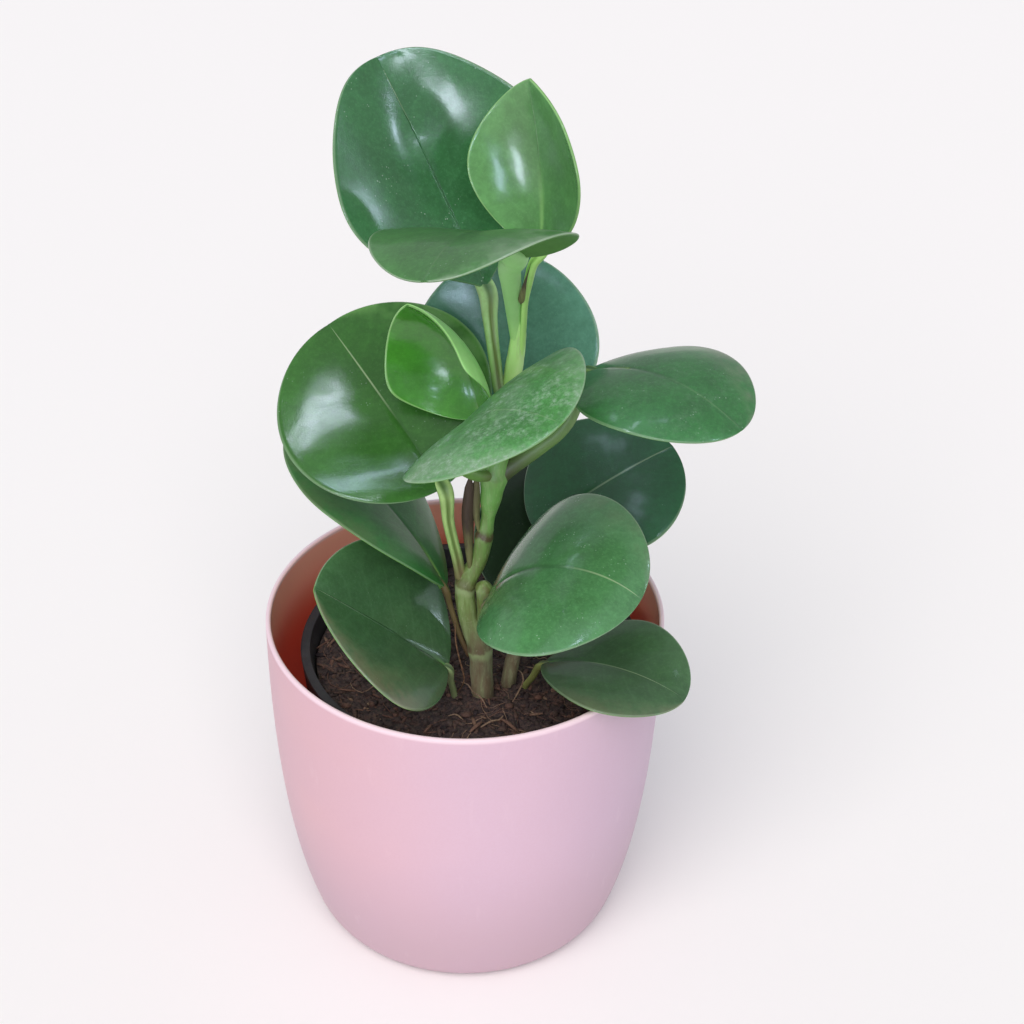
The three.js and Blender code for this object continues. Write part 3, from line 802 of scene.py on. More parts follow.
stems = {
    # points up the middle with the radius at each, and how dark and how pale the knots among them are
    "mainStem": {
        "nodes": ["stem_main"],
        "spots": [
            (6, -21, 92, 4.0), (6, -21, 106, 4.0), (5.6, -21, 116, 3.9), (5, -21, 126, 4.1),
            (1, -20.5, 139.9, 3.4), (0.3, -20, 153.1, 3.5), (4.7, -20, 163.2, 2.8), (6.3, -20, 172.3, 2.9),
            (7.5, -19.6, 179.8, 2.3), (8.7, -19.2, 189.2, 3.7), (9.5, -18.4, 196.6, 4.7),
            (11.4, -17.4, 207.3, 3.2), (12, -16.4, 214.5, 2.8), (13.8, -15.4, 224.9, 2.9),
            (15.6, -15.4, 235.9, 2.9), (16.8, -15.5, 247.9, 2.5), (16, -16, 256, 2.1),
            (15.2, -17, 262, 1.6),
        ],
        "knots": {3: (0.35, 0.8), 5: (0.55, 0.7), 7: (0.9, 0.1), 10: (0.2, 0.1)},
    },
    "branchStem": {
        "spots": [(5, -21, 124, 2.6), (6.5, -22.2, 139, 2.4), (6.4, -23.4, 153.6, 2.7),
                  (6.5, -23.8, 156.8, 1.5)],
        "knots": {2: (0.1, 0.3)},
    },
    "sideShoot": {
        "nodes": ["stem_side_shoot"],
        "spots": [(14, -16, 93, 2.6), (15.8, -14, 110, 2.6), (18.5, -11, 122, 2.4), (22, -5, 138, 2.2),
                  (23.2, 1, 149, 2.4)],
        "knots": {2: (0.4, 0.3)},
    },
}
stemLook = {
    "step": 0.8, "sides": 28, "knotSwell": 0.3, "knotReach": 1.8,
    "crease": 0.14, "creaseAbove": 1.9, "creaseReach": 0.8,  # just above each knot
    "endRound": 2.2, "rough": 0.05, "roughScale": 1.6,
    "ribs": 5, "ribHeight": 0.07,  # faint ribs along each length of stem
    # the top colour is lighter than the stem's own fresh green: painted light standing in for light coming
    # through the thin stem
    "old": (132, 130, 104), "olive": (116, 144, 76), "fresh": (112, 172, 84), "top": (202, 250, 160),
    "scar": (84, 60, 46), "pale": (166, 186, 136), "bark": (112, 84, 66), "damp": (78, 62, 52),
    "fleck": (196, 206, 168),
}
driedScales = {
    # points from the root, the greatest half width, how dark it has dried, and where it is widest
    "scales": [
        ([(2.2, -21, 155), (1.6, -21.8, 163), (1.2, -22, 172), (0.9, -22.6, 183), (1.7, -23, 199)],
         2.0, 1.0, 0.62),
        ([(5, -20.4, 172.6), (3.6, -22, 184), (3.8, -21.8, 198)], 1.5, 0.35, 0.62),
        ([(17.4, -19.6, 261.8), (18.4, -22.2, 269.7), (20.2, -23.4, 278.1)], 1.05, 0.9, 0.1),
    ],
    "thick": 0.5, "sides": 14, "spread": 0.5, "ripple": 0.12,
    "curl": 0.28,  # edges rolled towards the stem
    "green": (116, 118, 72), "brown": (70, 54, 42), "fresh": (122, 126, 76), "dark": (48, 38, 30),
}


def stemSkin():
    look = Look("jointedStemSkin")
    height = look.coordinate(2)
    fromKnot, dark, light = (look.worn(label) for label in ("fromKnot", "knotDark", "knotPale"))
    blotch = look.clouds(4, 4, 0.6, (1, 1, 0.5))
    fine = look.clouds(0.7, 3, 0.6, (1, 1, 0.3))
    streaks = look.clouds(2.2, 3, 0.6, (1, 1, 0.14))
    ragged = fromKnot + blotch * 5 - 2.5
    color = look.coats(
        stemLook["old"],
        (height.step(118, 150), stemLook["olive"]), (height.step(156, 190), stemLook["fresh"]),
        # painted light near the top, standing in for light coming through the stem
        (height.step(196, 214) * 0.6, stemLook["olive"]), (height.step(226, 246), stemLook["top"]),
        (streaks.step(0.42, 0.66) * height.step(240, 140) * 0.5, stemLook["bark"]),
        (streaks.step(0.48, 0.36) * 0.3, stemLook["pale"]),
        # round each knot: a pale swelling below and a torn brown scar above it
        (ragged.step(-4.2, -1.4) * ragged.step(0.6, -0.6) * light, stemLook["pale"]),
        (ragged.step(-1.0, 0.4) * ragged.step(4.2, 1.2) * dark, stemLook["scar"]),
        (height.step(112, 105) * 0.5, stemLook["damp"]), (fine.step(0.55, 0.7) * 0.2, stemLook["fleck"]))
    return look.finish({
        "Base Color": color,
        "Roughness": 0.42 + height.step(180, 120) * 0.2 + fine * 0.08,
        "Normal": look.bump(fine + blotch * 0.6 + streaks * 0.5, 0.14, 0.6),
        "Subsurface Weight": 0.08,
        "Subsurface Radius": (0.002, 0.004, 0.001),
        "Coat Weight": 0.1,
        "Coat Roughness": 0.3,
    })


def stemBody(stem):
    form, spots = stemLook, stem["spots"]
    path, total, reached = smoothPath([spot[:3] for spot in spots], form["step"])
    knots = {reached[k]: tones for k, tones in stem["knots"].items()}
    points = []
    worn = {"fromKnot": [], "knotDark": [], "knotPale": []}
    count, sides = len(path) - 1, form["sides"]
    for i, (point, side, up) in enumerate(framesAlong(path, Vector((0, -1, 0)))):
        along = total * i / count
        k = 1
        while k < len(reached) - 1 and reached[k] < along:
            k += 1
        share = between(0, (along - reached[k - 1]) / (reached[k] - reached[k - 1]), 1)
        share = share * share * (3 - 2 * share)
        radius = lerp(spots[k - 1][3], spots[k][3], share)
        nearest = min(knots, key=lambda knot: abs(along - knot))
        radius += form["knotSwell"] * bell(along - nearest, form["knotReach"])
        radius -= form["crease"] * bell(along - nearest - form["creaseAbove"], form["creaseReach"])
        ends = min(1.0, (total - along) / form["endRound"])
        radius *= math.sqrt(max(0.0, 1 - (1 - ends) ** 2)) if ends < 1 else 1
        for j, (x, y) in enumerate(circle(sides)):
            bark = Vector((x, y, along * 0.16)) * form["roughScale"] + Vector(spots[0][:3])
            ribs = form["ribHeight"] * math.cos(2 * math.pi * j / sides * form["ribs"])
            reach = max(0.02, radius * (1 + form["rough"] * noise.noise(bark)) + ribs)
            points.append(point + side * reach * x + up * reach * y)
            for label, value in zip(worn, (along - nearest, *knots[nearest])):
                worn[label].append(value)
    return points, skinOf(len(path), sides), worn


def makeStems():
    skin = stemSkin()
    for name, stem in stems.items():
        points, faces, worn = stemBody(stem)
        place(makeObject(name, points, faces, skin, worn), "stem", *stem.get("nodes", ()))
    print("stems grown:", len(stems))


def scaleSkin():
    look = Look("driedScaleSkin")
    streaks = look.clouds(1.1, 4, 0.65, (1, 1, 0.16))
    along, dry = look.worn("along"), look.worn("dry")
    browned = (along + streaks * 0.5 - 0.25).step(0.15, 0.62)
    return look.finish({
        "Base Color": look.coats(driedScales["green"], (browned, driedScales["brown"]),
                                 ((1 - dry) * 0.6, driedScales["fresh"]),
                                 (streaks.step(0.45, 0.65) * 0.35, driedScales["dark"])),
        "Roughness": 0.62 + streaks * 0.15,
        "Normal": look.bump(streaks, 0.1, 0.6),
    })


def makeDriedScales():
    points, faces, along, dry = [], [], [], []
    sides = driedScales["sides"]
    for spots, widest, dryness, thickest in driedScales["scales"]:
        path, _, _ = smoothPath(spots, 0.6)
        faces += skinOf(len(path), sides, len(points))
        for i, (point, side, up) in enumerate(framesAlong(path, Vector((0, -1, 0.2)))):
            share = i / (len(path) - 1)
            width = widest * bell(share - thickest, driedScales["spread"])
            width *= math.sqrt(max(0.01, min(1.0, (1 - share) * 9, share * 18 + 0.02)))
            ripple = driedScales["ripple"] * math.sin(9 * share)
            for x, y in circle(sides):
                across, deep = width * x, driedScales["thick"] * y
                curl = driedScales["curl"] * across * across
                points.append(point + side * across + up * (deep * (1.3 - share) - curl + ripple))
            along += [share] * sides
            dry += [dryness] * sides
    place(makeObject("driedScales", points, faces, scaleSkin(), {"along": along, "dry": dry}), "stem")
    print("dried scales hung:", len(driedScales["scales"]))


# Leaves. base: where the blade starts. heading: the way it points, from +X towards +Y. rise: how
# steeply it leaves its base. roll: turn about its midrib, and twist: how much more it turns by the
# tip. arch: how far the midrib bends over on its way to the tip. fold and cup: how far each half
# lifts, at the midrib and more at the margin. stalk: the way from the stem to the base. green: the
# blade's colour away from its veins. dust: how much white dust lies on it. gloss: its roughness.

leaves = {
    "topBackLeaf": {
        "node": "leaf_top_back",
        "base": (6.8, -4, 257.9), "heading": 134.5, "rise": 49.5, "roll": 15.8, "length": 80.5, "width": 80,
        "arch": -7.8, "fold": 13, "cup": 18, "twist": 0.4, "round": (1.22, 0.45),
        "stalk": [(12.9, -15.8, 219.8), (10.6, -16.4, 230.1), (9.6, -16.2, 238.2), (8.7, -15, 245.4),
                  (7.9, -11.6, 251.8)],
        "radii": (2.0, 2.3), "flare": 0.9, "flareReach": 9,
        "stalkColors": ((176, 220, 146), (118, 140, 76), (30, 46, 20)), "footReach": 0.8,
        "midrib": (0.0, 0.5, 0.8), "groove": 0.05, "ridge": 0.02, "runReach": 7,
        "humps": ((0.66, 0.08, 1.4, 10),),
        "green": (53, 110, 65), "dust": 0.55, "pillow": 0.1, "softFold": 20, "gloss": 0.17,
    },
    "topYoungLeaf": {
        "node": "leaf_top_young",
        "base": (24, -20, 281.3), "heading": 74, "rise": 58, "roll": 28, "length": 53, "width": 52,
        "arch": -40, "fold": 11, "cup": 27, "twist": 9, "round": (0.55, 0.7),
        "stalk": [(16.4, -15.9, 236), (17.6, -16.6, 243.9), (18.1, -17.3, 252.6), (18.4, -17.8, 260.8),
                  (19.6, -18.3, 268.6), (21, -19, 275.3)],
        "radii": (1.3, 1.7), "stalkColors": ((186, 236, 138), (140, 190, 100), (196, 246, 140)),
        "midrib": (0, 0.14, 0.5), "groove": 0.06, "ridge": 0.04,
        "throat": ((150, 206, 122), 2.6, 0.62), "softFold": 22,
        "green": (92, 150, 86), "dust": 0.08, "pillow": 0.1, "gloss": 0.17,
    },
    "topFrontLeaf": {
        "node": "leaf_top_front",
        "base": (15, -24, 281), "heading": 230, "rise": 57, "roll": -17, "length": 63, "width": 63,
        "arch": 79, "fold": -3, "cup": 6, "twist": -7,
        "stalk": [(16.8, -15.6, 242.3), (15.8, -16, 251.7), (15, -17, 260.1), (14.3, -19, 268.3),
                  (13.8, -21.6, 275.7)],
        # painted light: these stalk colours are lighter than its own green, standing in for light coming
        # through the funnel of the stalk
        "radii": (1.7, 4.1), "stalkColors": ((186, 240, 162), (146, 202, 126), (200, 250, 158)),
        "midrib": (0.25, 0.05, 0.7), "under": ((84, 130, 66), (70, 112, 56)), "rim": 0.7,
        "hazeAndPaintedLight": (0.4, -1, (168, 184, 168)),
        "green": (66, 119, 61), "dust": 0.5, "gloss": 0.36,
    },
    "middleBackLeaf": {
        "node": "leaf_middle_back",
        "base": (15.2, 7, 200.4), "heading": 89, "rise": 64, "roll": 12, "length": 57, "width": 64,
        "arch": -5, "fold": 4, "cup": 20,
        "stalk": [(8.4, -18.6, 186), (11, -9, 190), (13.8, 0, 194)],
        # painted sheen: this leaf's green is lighter and bluer than its own, standing in for the bluish
        # sheen across it
        "midrib": (0.2, 0.05, 0.7), "green": (90, 142, 124), "dust": 0.1, "pillow": 0.4, "gloss": 0.16,
    },
    "middleLeftLeaf": {
        "node": "leaf_middle_left",
        "base": (-7, -23, 194.4), "heading": 138, "rise": 41, "roll": 33, "length": 70, "width": 73,
        "arch": 27, "fold": 6, "cup": 7,
        "stalk": [(-1.3, -20, 155.7), (-2.7, -21.2, 165.1), (-4.1, -22.2, 172.6), (-5.5, -23, 181.2)],
        "flare": 0.5, "flareReach": 8, "stalkColors": ((176, 212, 134), (110, 136, 72), (116, 92, 70)),
        # its haze is painted light: a lighter green along one margin
        "midrib": (0.3, 0.5, 0.5), "hazeAndPaintedLight": (0.75, 1, (104, 158, 84)), "pillow": 0.3,
        "green": (52, 104, 40), "dust": 0.3, "gloss": 0.15, "shine": 0.38,
    },
    "middleYoungLeaf": {
        "node": "leaf_middle_young",
        "base": (4.8, -18.2, 218), "heading": 97, "rise": 47.5, "roll": 50, "length": 49, "width": 53,
        "arch": -79, "fold": 14, "cup": 60, "twist": 6, "round": (0.49, 0.56),
        "stalk": [(10.1, -18, 201.1), (7.5, -18.4, 209.6)], "radii": (2, 2.4), "softFold": 3,
        "midrib": (0.15, 0.1, 0.6),
        "stalkColors": ((118, 172, 64), (98, 152, 50), (100, 148, 60)),
        # painted light: these underside colours are far lighter than its own, standing in for light falling
        # on the curled-over half
        "under": ((176, 240, 148), (160, 226, 128)),
        "green": (64, 138, 40), "dust": 0.0, "pillow": 0.2, "gloss": 0.16,
    },
    "middleFrontLeaf": {
        "node": "leaf_middle_front",
        "base": (-5, -36, 220.8), "heading": -59, "rise": 60, "roll": -18, "length": 62, "width": 69,
        "arch": 58, "fold": -1, "cup": -1, "twist": -9,
        "stalk": [(10, -18, 196), (4, -25.6, 200.8), (-2, -32.4, 209.6)],
        "midrib": (0.2, 0.15, 0.4), "hazeAndPaintedLight": (0.32, 0, (154, 172, 154)),
        "green": (80, 145, 80), "dust": 1.0, "gloss": 0.42,
    },
    "middleRightLeaf": {
        "node": "leaf_middle_right",
        "base": (38.5, -12, 232), "heading": -38, "rise": 35, "roll": 4, "length": 64, "width": 58,
        "arch": 65, "fold": -6, "cup": -4, "twist": -7,
        "stalk": [(10.5, -18.2, 195.6), (15.1, -17.8, 199.4), (19.3, -17, 202.4), (24.8, -16.4, 206.6),
                  (30.8, -15.6, 211.8), (34.6, -14.4, 217.8)],
        "radii": (3.3, 2.2), "midrib": (0.35, 0.08, 0.6), "hazeAndPaintedLight": (0.5, -1, (134, 130, 118)),
        "stalkColors": ((118, 152, 86), (92, 126, 66), (60, 48, 38)),
        "green": (46, 112, 54), "dust": 0.6, "gloss": 0.38,
    },
    "lowRightBackLeaf": {
        "node": "leaf_low_right_back",
        "base": (24.5, 5, 157), "heading": 25, "rise": 29, "roll": -4, "length": 57, "width": 65,
        "arch": 18, "fold": -3, "cup": 6, "twist": -8,
        "stalk": [(23.2, 1, 148)],
        "midrib": (0.2, 0.3, 0.4), "green": (26, 88, 48), "dust": 0.2, "gloss": 0.26, "shine": 0.35,
    },
    "lowBackLeaf": {
        "node": "leaf_low_back",
        "base": (15, -1, 132), "heading": 60, "rise": 40, "roll": 0, "length": 56, "width": 44,
        "arch": 6, "fold": 4, "cup": 8,
        "stalk": [(5.4, -21, 120), (9.8, -11, 126)],
        # painted shade: this leaf's green is much darker than the others, standing in for the deep shade
        # behind the stem
        "green": (24, 46, 25), "dust": 0.1, "gloss": 0.4, "shine": 0.3,
    },
    "lowRightFrontLeaf": {
        "node": "leaf_low_right_front",
        "base": (7.3, -29.6, 152.4), "heading": -30, "rise": 69, "roll": -12, "length": 64, "width": 73,
        "arch": 108, "fold": 0, "cup": -7, "twist": -15,
        "stalk": [(6.9, -23.2, 144), (7, -27, 147)], "radii": (1.7, 1.6),
        "stalkColors": ((140, 132, 104), (120, 108, 84), (140, 108, 94)),
        "midrib": (0.4, 0.5, 0.66), "groove": 0.16, "ridge": 0.1, "hazeAndPaintedLight": (0.18, -1, (138, 124, 108)),
        "green": (76, 132, 82), "dust": 0.55, "gloss": 0.22,
    },
    "lowLeftLeaf": {
        "node": "leaf_low_left",
        "base": (-6.9, -17, 149.4), "heading": 132.8, "rise": 43, "roll": -44.5, "length": 77, "width": 63.7,
        "arch": 28.3, "fold": 0.6, "cup": -5.3, "twist": 31, "round": (0.6, 0.5),
        "stalk": [(1.7, -20.6, 122.5), (-1, -19.4, 128.1), (-3.4, -18, 135.8), (-5.1, -17, 141.9)],
        "radii": (1, 1.3), "stalkColors": ((116, 104, 70), (88, 76, 52), (84, 64, 48)),
        "throat": ((150, 190, 104), 3.4, 0.3),
        "hazeAndPaintedLight": (0.3, -1, (120, 112, 92)),
        "green": (52, 116, 55), "dust": 0.15, "gloss": 0.42, "shine": 0.2,
    },
    "soilLeftLeaf": {
        "node": "leaf_soil_left",
        "base": (-6, -28, 122.8), "heading": 190, "rise": 40, "roll": 22, "length": 60, "width": 68,
        "arch": -4, "fold": 12, "cup": 4, "twist": -6,
        "stalk": [(-3, -19, 98), (-3.6, -22, 106), (-4.8, -25.6, 115)], "radii": (1.3, 1.4),
        "stalkColors": ((156, 180, 128), (128, 146, 104), (144, 112, 98)),
        "hazeAndPaintedLight": (0.4, -1, (150, 124, 108)),
        "green": (67, 106, 70), "dust": 0.1, "gloss": 0.22,
    },
    "soilRightLeaf": {
        "node": "leaf_soil_right",
        "base": (27, -25, 122), "heading": -22, "rise": 23, "roll": 11, "length": 53, "width": 50,
        "arch": 41, "fold": 7, "cup": 0, "twist": -23, "round": (0.75, 0.55),
        "stalk": [(19.6, -15, 98), (21, -17.4, 106), (23.6, -21.6, 114)], "radii": (1.3, 1.4),
        "stalkColors": ((150, 158, 96), (122, 132, 74), (120, 96, 66)),
        "midrib": (0.2, 0.3, 0.3), "hazeAndPaintedLight": (0.25, 1, (134, 116, 102)),
        "green": (62, 98, 62), "dust": 0.12, "gloss": 0.44, "shine": 0.35,
    },
}
youngLeaves = ("topYoungLeaf", "middleYoungLeaf")

# what a leaf has where its own entry says nothing else
plainLeaf = {
    "twist": 0, "round": (0.55, 0.5),  # how blunt the outline is at base and tip
    "pillow": 1.0,  # swell of each half between midrib and margin
    "softFold": 13,  # the fold at the midrib is rounded off over this reach
    "groove": 0.34, "ridge": 0.16,  # the midrib is sunk near the base and stands up near the tip
    "humps": (),  # place along and across, height and size of each
    "radii": (1.9, 2.2),  # stalk at its foot and at the blade
    "flare": 0.3, "flareReach": 3.5,  # a stalk widens where it meets the blade
    "runReach": 3.5,  # the blade's green runs this far down the channel
    "stalkColors": ((136, 182, 98), (84, 124, 56), (96, 86, 58)),  # ridges, channel and foot; the paler ridges and darker channel are partly painted light and shade
    "footReach": 0.42,  # share of the stalk that the foot's colour reaches
    "midrib": (0.3, 0.35, 0.7),  # painted shade in the crease, paleness of the line, where they change over
    "throat": ((104, 152, 78), 3.2, 0.16),  # pale start of the midrib: colour, half width and reach
    "rim": 0.4,  # paleness of the margin
    "under": ((112, 164, 84), (92, 146, 70)),
    "hazeAndPaintedLight": None,  # strength, margin (one side 1, the other -1, both 0) and colour
    "shine": 0.5,
}
leafForm = {
    "edge": 0.8, "middle": 1.5,  # thickness at the margin and at the midrib
    "widestShift": 0.95,  # under 1 puts the widest place nearer the base
    "stations": 84, "cells": 56, "marginSteps": 3,
    "cellSpread": 1.3, "ends": 0.0004,  # cells crowd at the midrib; a blade stops just short of a point
    "grooveWidth": 0.75, "ridgeWidth": 0.42,
    "ribHeight": 1.5, "ribWidth": 1.25, "ribReach": 0.8,  # rib along the underside
    "sideVeins": 6.5, "veinSweep": 0.30, "quilting": 0.02,
    "wave": 0.45, "waveSize": 19,  # slow unevenness of the whole blade
    "stalkSides": 30, "stalkStep": 0.9, "channel": 0.34, "channelWidth": 0.3,
    "tip": 0.6, "ribShare": 0.3, "straight": 0.6,  # the stalk's end under the blade
    "footSwell": 0.25, "footSwellReach": 2.5, "waist": 0.12,
    "fineLine": (178, 200, 160), "dustColor": (188, 208, 198), "underRib": (146, 188, 108),
    "margin": (142, 172, 138), "youngMargin": (170, 214, 140),
}
leafMarks = ("along", "across", "face", "stalk", "ridge", "run", "isStalk")


def turnAbout(vector, axis, angle):
    return Matrix.Rotation(angle, 3, axis) @ vector


# the middle line of a leaf and the directions along, across and up from it
def midribOf(leaf):
    heading, rise, roll, arch = (math.radians(leaf[key]) for key in ("heading", "rise", "roll", "arch"))
    start = Vector((math.cos(heading) * math.cos(rise), math.sin(heading) * math.cos(rise), math.sin(rise)))
    level = start.cross(Vector((0, 0, 1))).normalized()
    across = turnAbout(level, start, -roll)
    up = across.cross(start)
    bendRadius = leaf["length"] / arch

    def at(share):
        bend = arch * share
        point = Vector(leaf["base"]) + start * bendRadius * math.sin(bend)
        point -= up * bendRadius * (1 - math.cos(bend))
        forward = start * math.cos(bend) - up * math.sin(bend)
        side = turnAbout(across, forward, -math.radians(leaf["twist"]) * share)
        return point, forward, side, side.cross(forward)

    return at


def halfWidthAt(leaf, share):
    blunt = lerp(*leaf["round"], share)
    return leaf["width"] / 2 * max(0.0, math.sin(math.pi * share ** leafForm["widestShift"])) ** blunt


# how far the upper and the lower face stand off the plain blade, in millimetres
def reliefAt(leaf, share, across, reach, seed):
    form = leafForm
    lengthwise = math.sin(math.pi * share)
    groove = leaf["groove"] * (1 - share) ** 0.8 * bell(reach, form["grooveWidth"] * (1.6 - share))
    ridge = leaf["ridge"] * between(0, (share - 0.3) / 0.3, 1) * bell(reach, form["ridgeWidth"])
    phase = share * form["sideVeins"] - form["veinSweep"] * form["sideVeins"] * abs(across) ** 1.2
    quilt = form["quilting"] * math.cos(2 * math.pi * phase) * math.sin(math.pi * abs(across)) ** 0.5
    upper = ridge - groove - quilt
    rib = form["ribHeight"] * max(0.0, 1 - share / form["ribReach"]) ** 1.2
    lower = rib * bell(reach, form["ribWidth"] * (1.3 - 0.6 * share)) + quilt
    spot = Vector((share * leaf["length"], across * leaf["width"] / 2, seed * 37.0)) / form["waveSize"]
    swell = form["wave"] * noise.noise(spot) * (0.35 + 0.65 * abs(across)) * lengthwise ** 0.5
    # each half is a little pillow that starts at the midrib and turns down to the margin
    swell += leaf["pillow"] * math.sin(math.pi * abs(across) ** 1.2) * lengthwise ** 0.6
    rounded = max(0.0, 1 - reach / leaf["softFold"]) ** 2 * leaf["softFold"] / 2
    swell += math.tan(math.radians(leaf["fold"])) * rounded * lengthwise ** 0.5
    for along, beside, height, size in leaf["humps"]:
        away = math.hypot((share - along) * leaf["length"], (across - beside) * leaf["width"] / 2)
        swell += height * bell(away, size)
    return upper + swell, lower - swell


def bladeRings(leaf, seed):
    form = leafForm
    midrib = midribOf(leaf)
    fold, cup = math.radians(leaf["fold"]), math.radians(leaf["cup"])
    curl = cup / (leaf["width"] / 2) or 1e-6  # a flat blade still needs a curl to divide by
    half = form["cells"] // 2
    spread = [math.copysign(abs(s / half) ** form["cellSpread"], s) for s in range(-half, half + 1)]
    points, along, across, face = [], [], [], []
    for i in range(form["stations"] + 1):
        share = 0.5 - 0.5 * math.cos(math.pi * i / form["stations"])
        share = between(form["ends"], share, 1 - form["ends"])
        halfWidth = halfWidthAt(leaf, share)
        point, _, side, up = midrib(share)

        def spot(v, height, beyond):
            reach = abs(v) * halfWidth
            sign = 1 if v > 0 else -1 if v < 0 else 0
            tilt = (fold + curl * reach) * bool(sign)
            outward = (math.sin(fold + curl * reach) - math.sin(fold)) / curl
            lift = (math.cos(fold) - math.cos(fold + curl * reach)) / curl
            normal = up * math.cos(tilt) - side * sign * math.sin(tilt)
            flank = side * sign * math.cos(tilt) + up * math.sin(tilt) * abs(sign)
            return point + side * sign * outward + up * lift + normal * height + flank * beyond

        def thickness(v):
            fullness = halfWidth / (leaf["width"] / 2) * (1 - v * v)
            return lerp(form["edge"], form["middle"], fullness) / 2

        def put(v, height, facing, beyond=0.0):
            points.append(spot(v, height, beyond))
            along.append(share)
            across.append(v)
            face.append(facing)

        def putMargin(v, top):
            for k in range(1, form["marginSteps"] + 1):
                turn = math.pi * k / (form["marginSteps"] + 1)
                height = v * thickness(1) * math.cos(turn) + top
                put(v, height, v * math.cos(turn), thickness(1) * math.sin(turn))

        relief = [reliefAt(leaf, share, v, abs(v) * halfWidth, seed) for v in spread]
        for v, (top, _) in zip(spread, relief):
            put(v, thickness(v) + top, 1.0)
        putMargin(1.0, relief[-1][0])
        for v, (_, bottom) in zip(spread[::-1], relief[::-1]):
            put(v, -thickness(v) - bottom, -1.0)
        putMargin(-1.0, relief[0][0])
    ringSize = 2 * len(spread) + 2 * form["marginSteps"]
    return points, skinOf(form["stations"] + 1, ringSize), along, across, face


# the stalk: a channelled tube from the stem to the blade that runs on as a rib along its underside
def stalkRings(leaf):
    form = leafForm
    foot, neck = leaf["radii"]
    midrib = midribOf(leaf)
    _, forward, _, upStart = midrib(0)
    joinPoint = Vector(leaf["base"]) - forward * form["straight"]
    ribPoints = []
    for share in (1 / 3, 2 / 3, 1):
        point, _, _, up = midrib(share * form["ribShare"])
        sink = form["middle"] / 2 - form["tip"] + neck / 2 * (1 - share)
        ribPoints.append(point - up * sink)
    path, total, _ = smoothPath([*leaf["stalk"], joinPoint, *ribPoints], form["stalkStep"])
    freeShare = 1 - leaf["length"] * form["ribShare"] / total
    frames = framesAlong(path[::-1], upStart)[::-1]
    points, alongStalk, ridge, run = [], [], [], []
    for i, (point, side, up) in enumerate(frames):
        share = i / (len(path) - 1)
        if share < freeShare:
            radius = lerp(foot, neck, share / freeShare)
        else:
            radius = lerp(neck, form["tip"], (share - freeShare) / (1 - freeShare))
        fromFoot, fromBlade = share * total, (freeShare - share) * total
        radius += form["footSwell"] * bell(fromFoot, form["footSwellReach"])
        radius -= form["waist"] * math.sin(math.pi * min(1, share / freeShare)) ** 2
        radius += leaf["flare"] * bell(fromBlade, leaf["flareReach"])
        inBlade = between(0, (share - freeShare + 0.06) / 0.12, 1)
        channel = form["channel"] * radius * between(0, fromFoot / 6, 1) * (1 - 0.5 * inBlade)
        darkness = 0.7 * between(0, fromBlade / 8, 1)  # the channel is lit near the blade
        nearBlade = between(0, 1 - fromBlade / leaf["runReach"], 1)
        for j, (x, y) in enumerate(circle(form["stalkSides"])):
            x, y = radius * x, radius * y
            if y > 0:
                y = y * lerp(0.92, 0.45, inBlade) - channel * bell(x, form["channelWidth"] * radius)
            points.append(point + side * x + up * y)
            alongStalk.append(min(1.0, share / freeShare))
            # painted light and shade over the stalk's own colours: palest on the two ridges beside the
            # channel, darkest down the channel
            angle = 360 * j / form["stalkSides"]
            pale = 0.55 * (bell(angle - 42, 26) + bell(angle - 138, 26))
            ridge.append(0.45 + pale - darkness * bell(angle - 90, 13))
            run.append(nearBlade * bell(angle - 90, 36))
    return points, skinOf(len(path), form["stalkSides"]), alongStalk, ridge, run


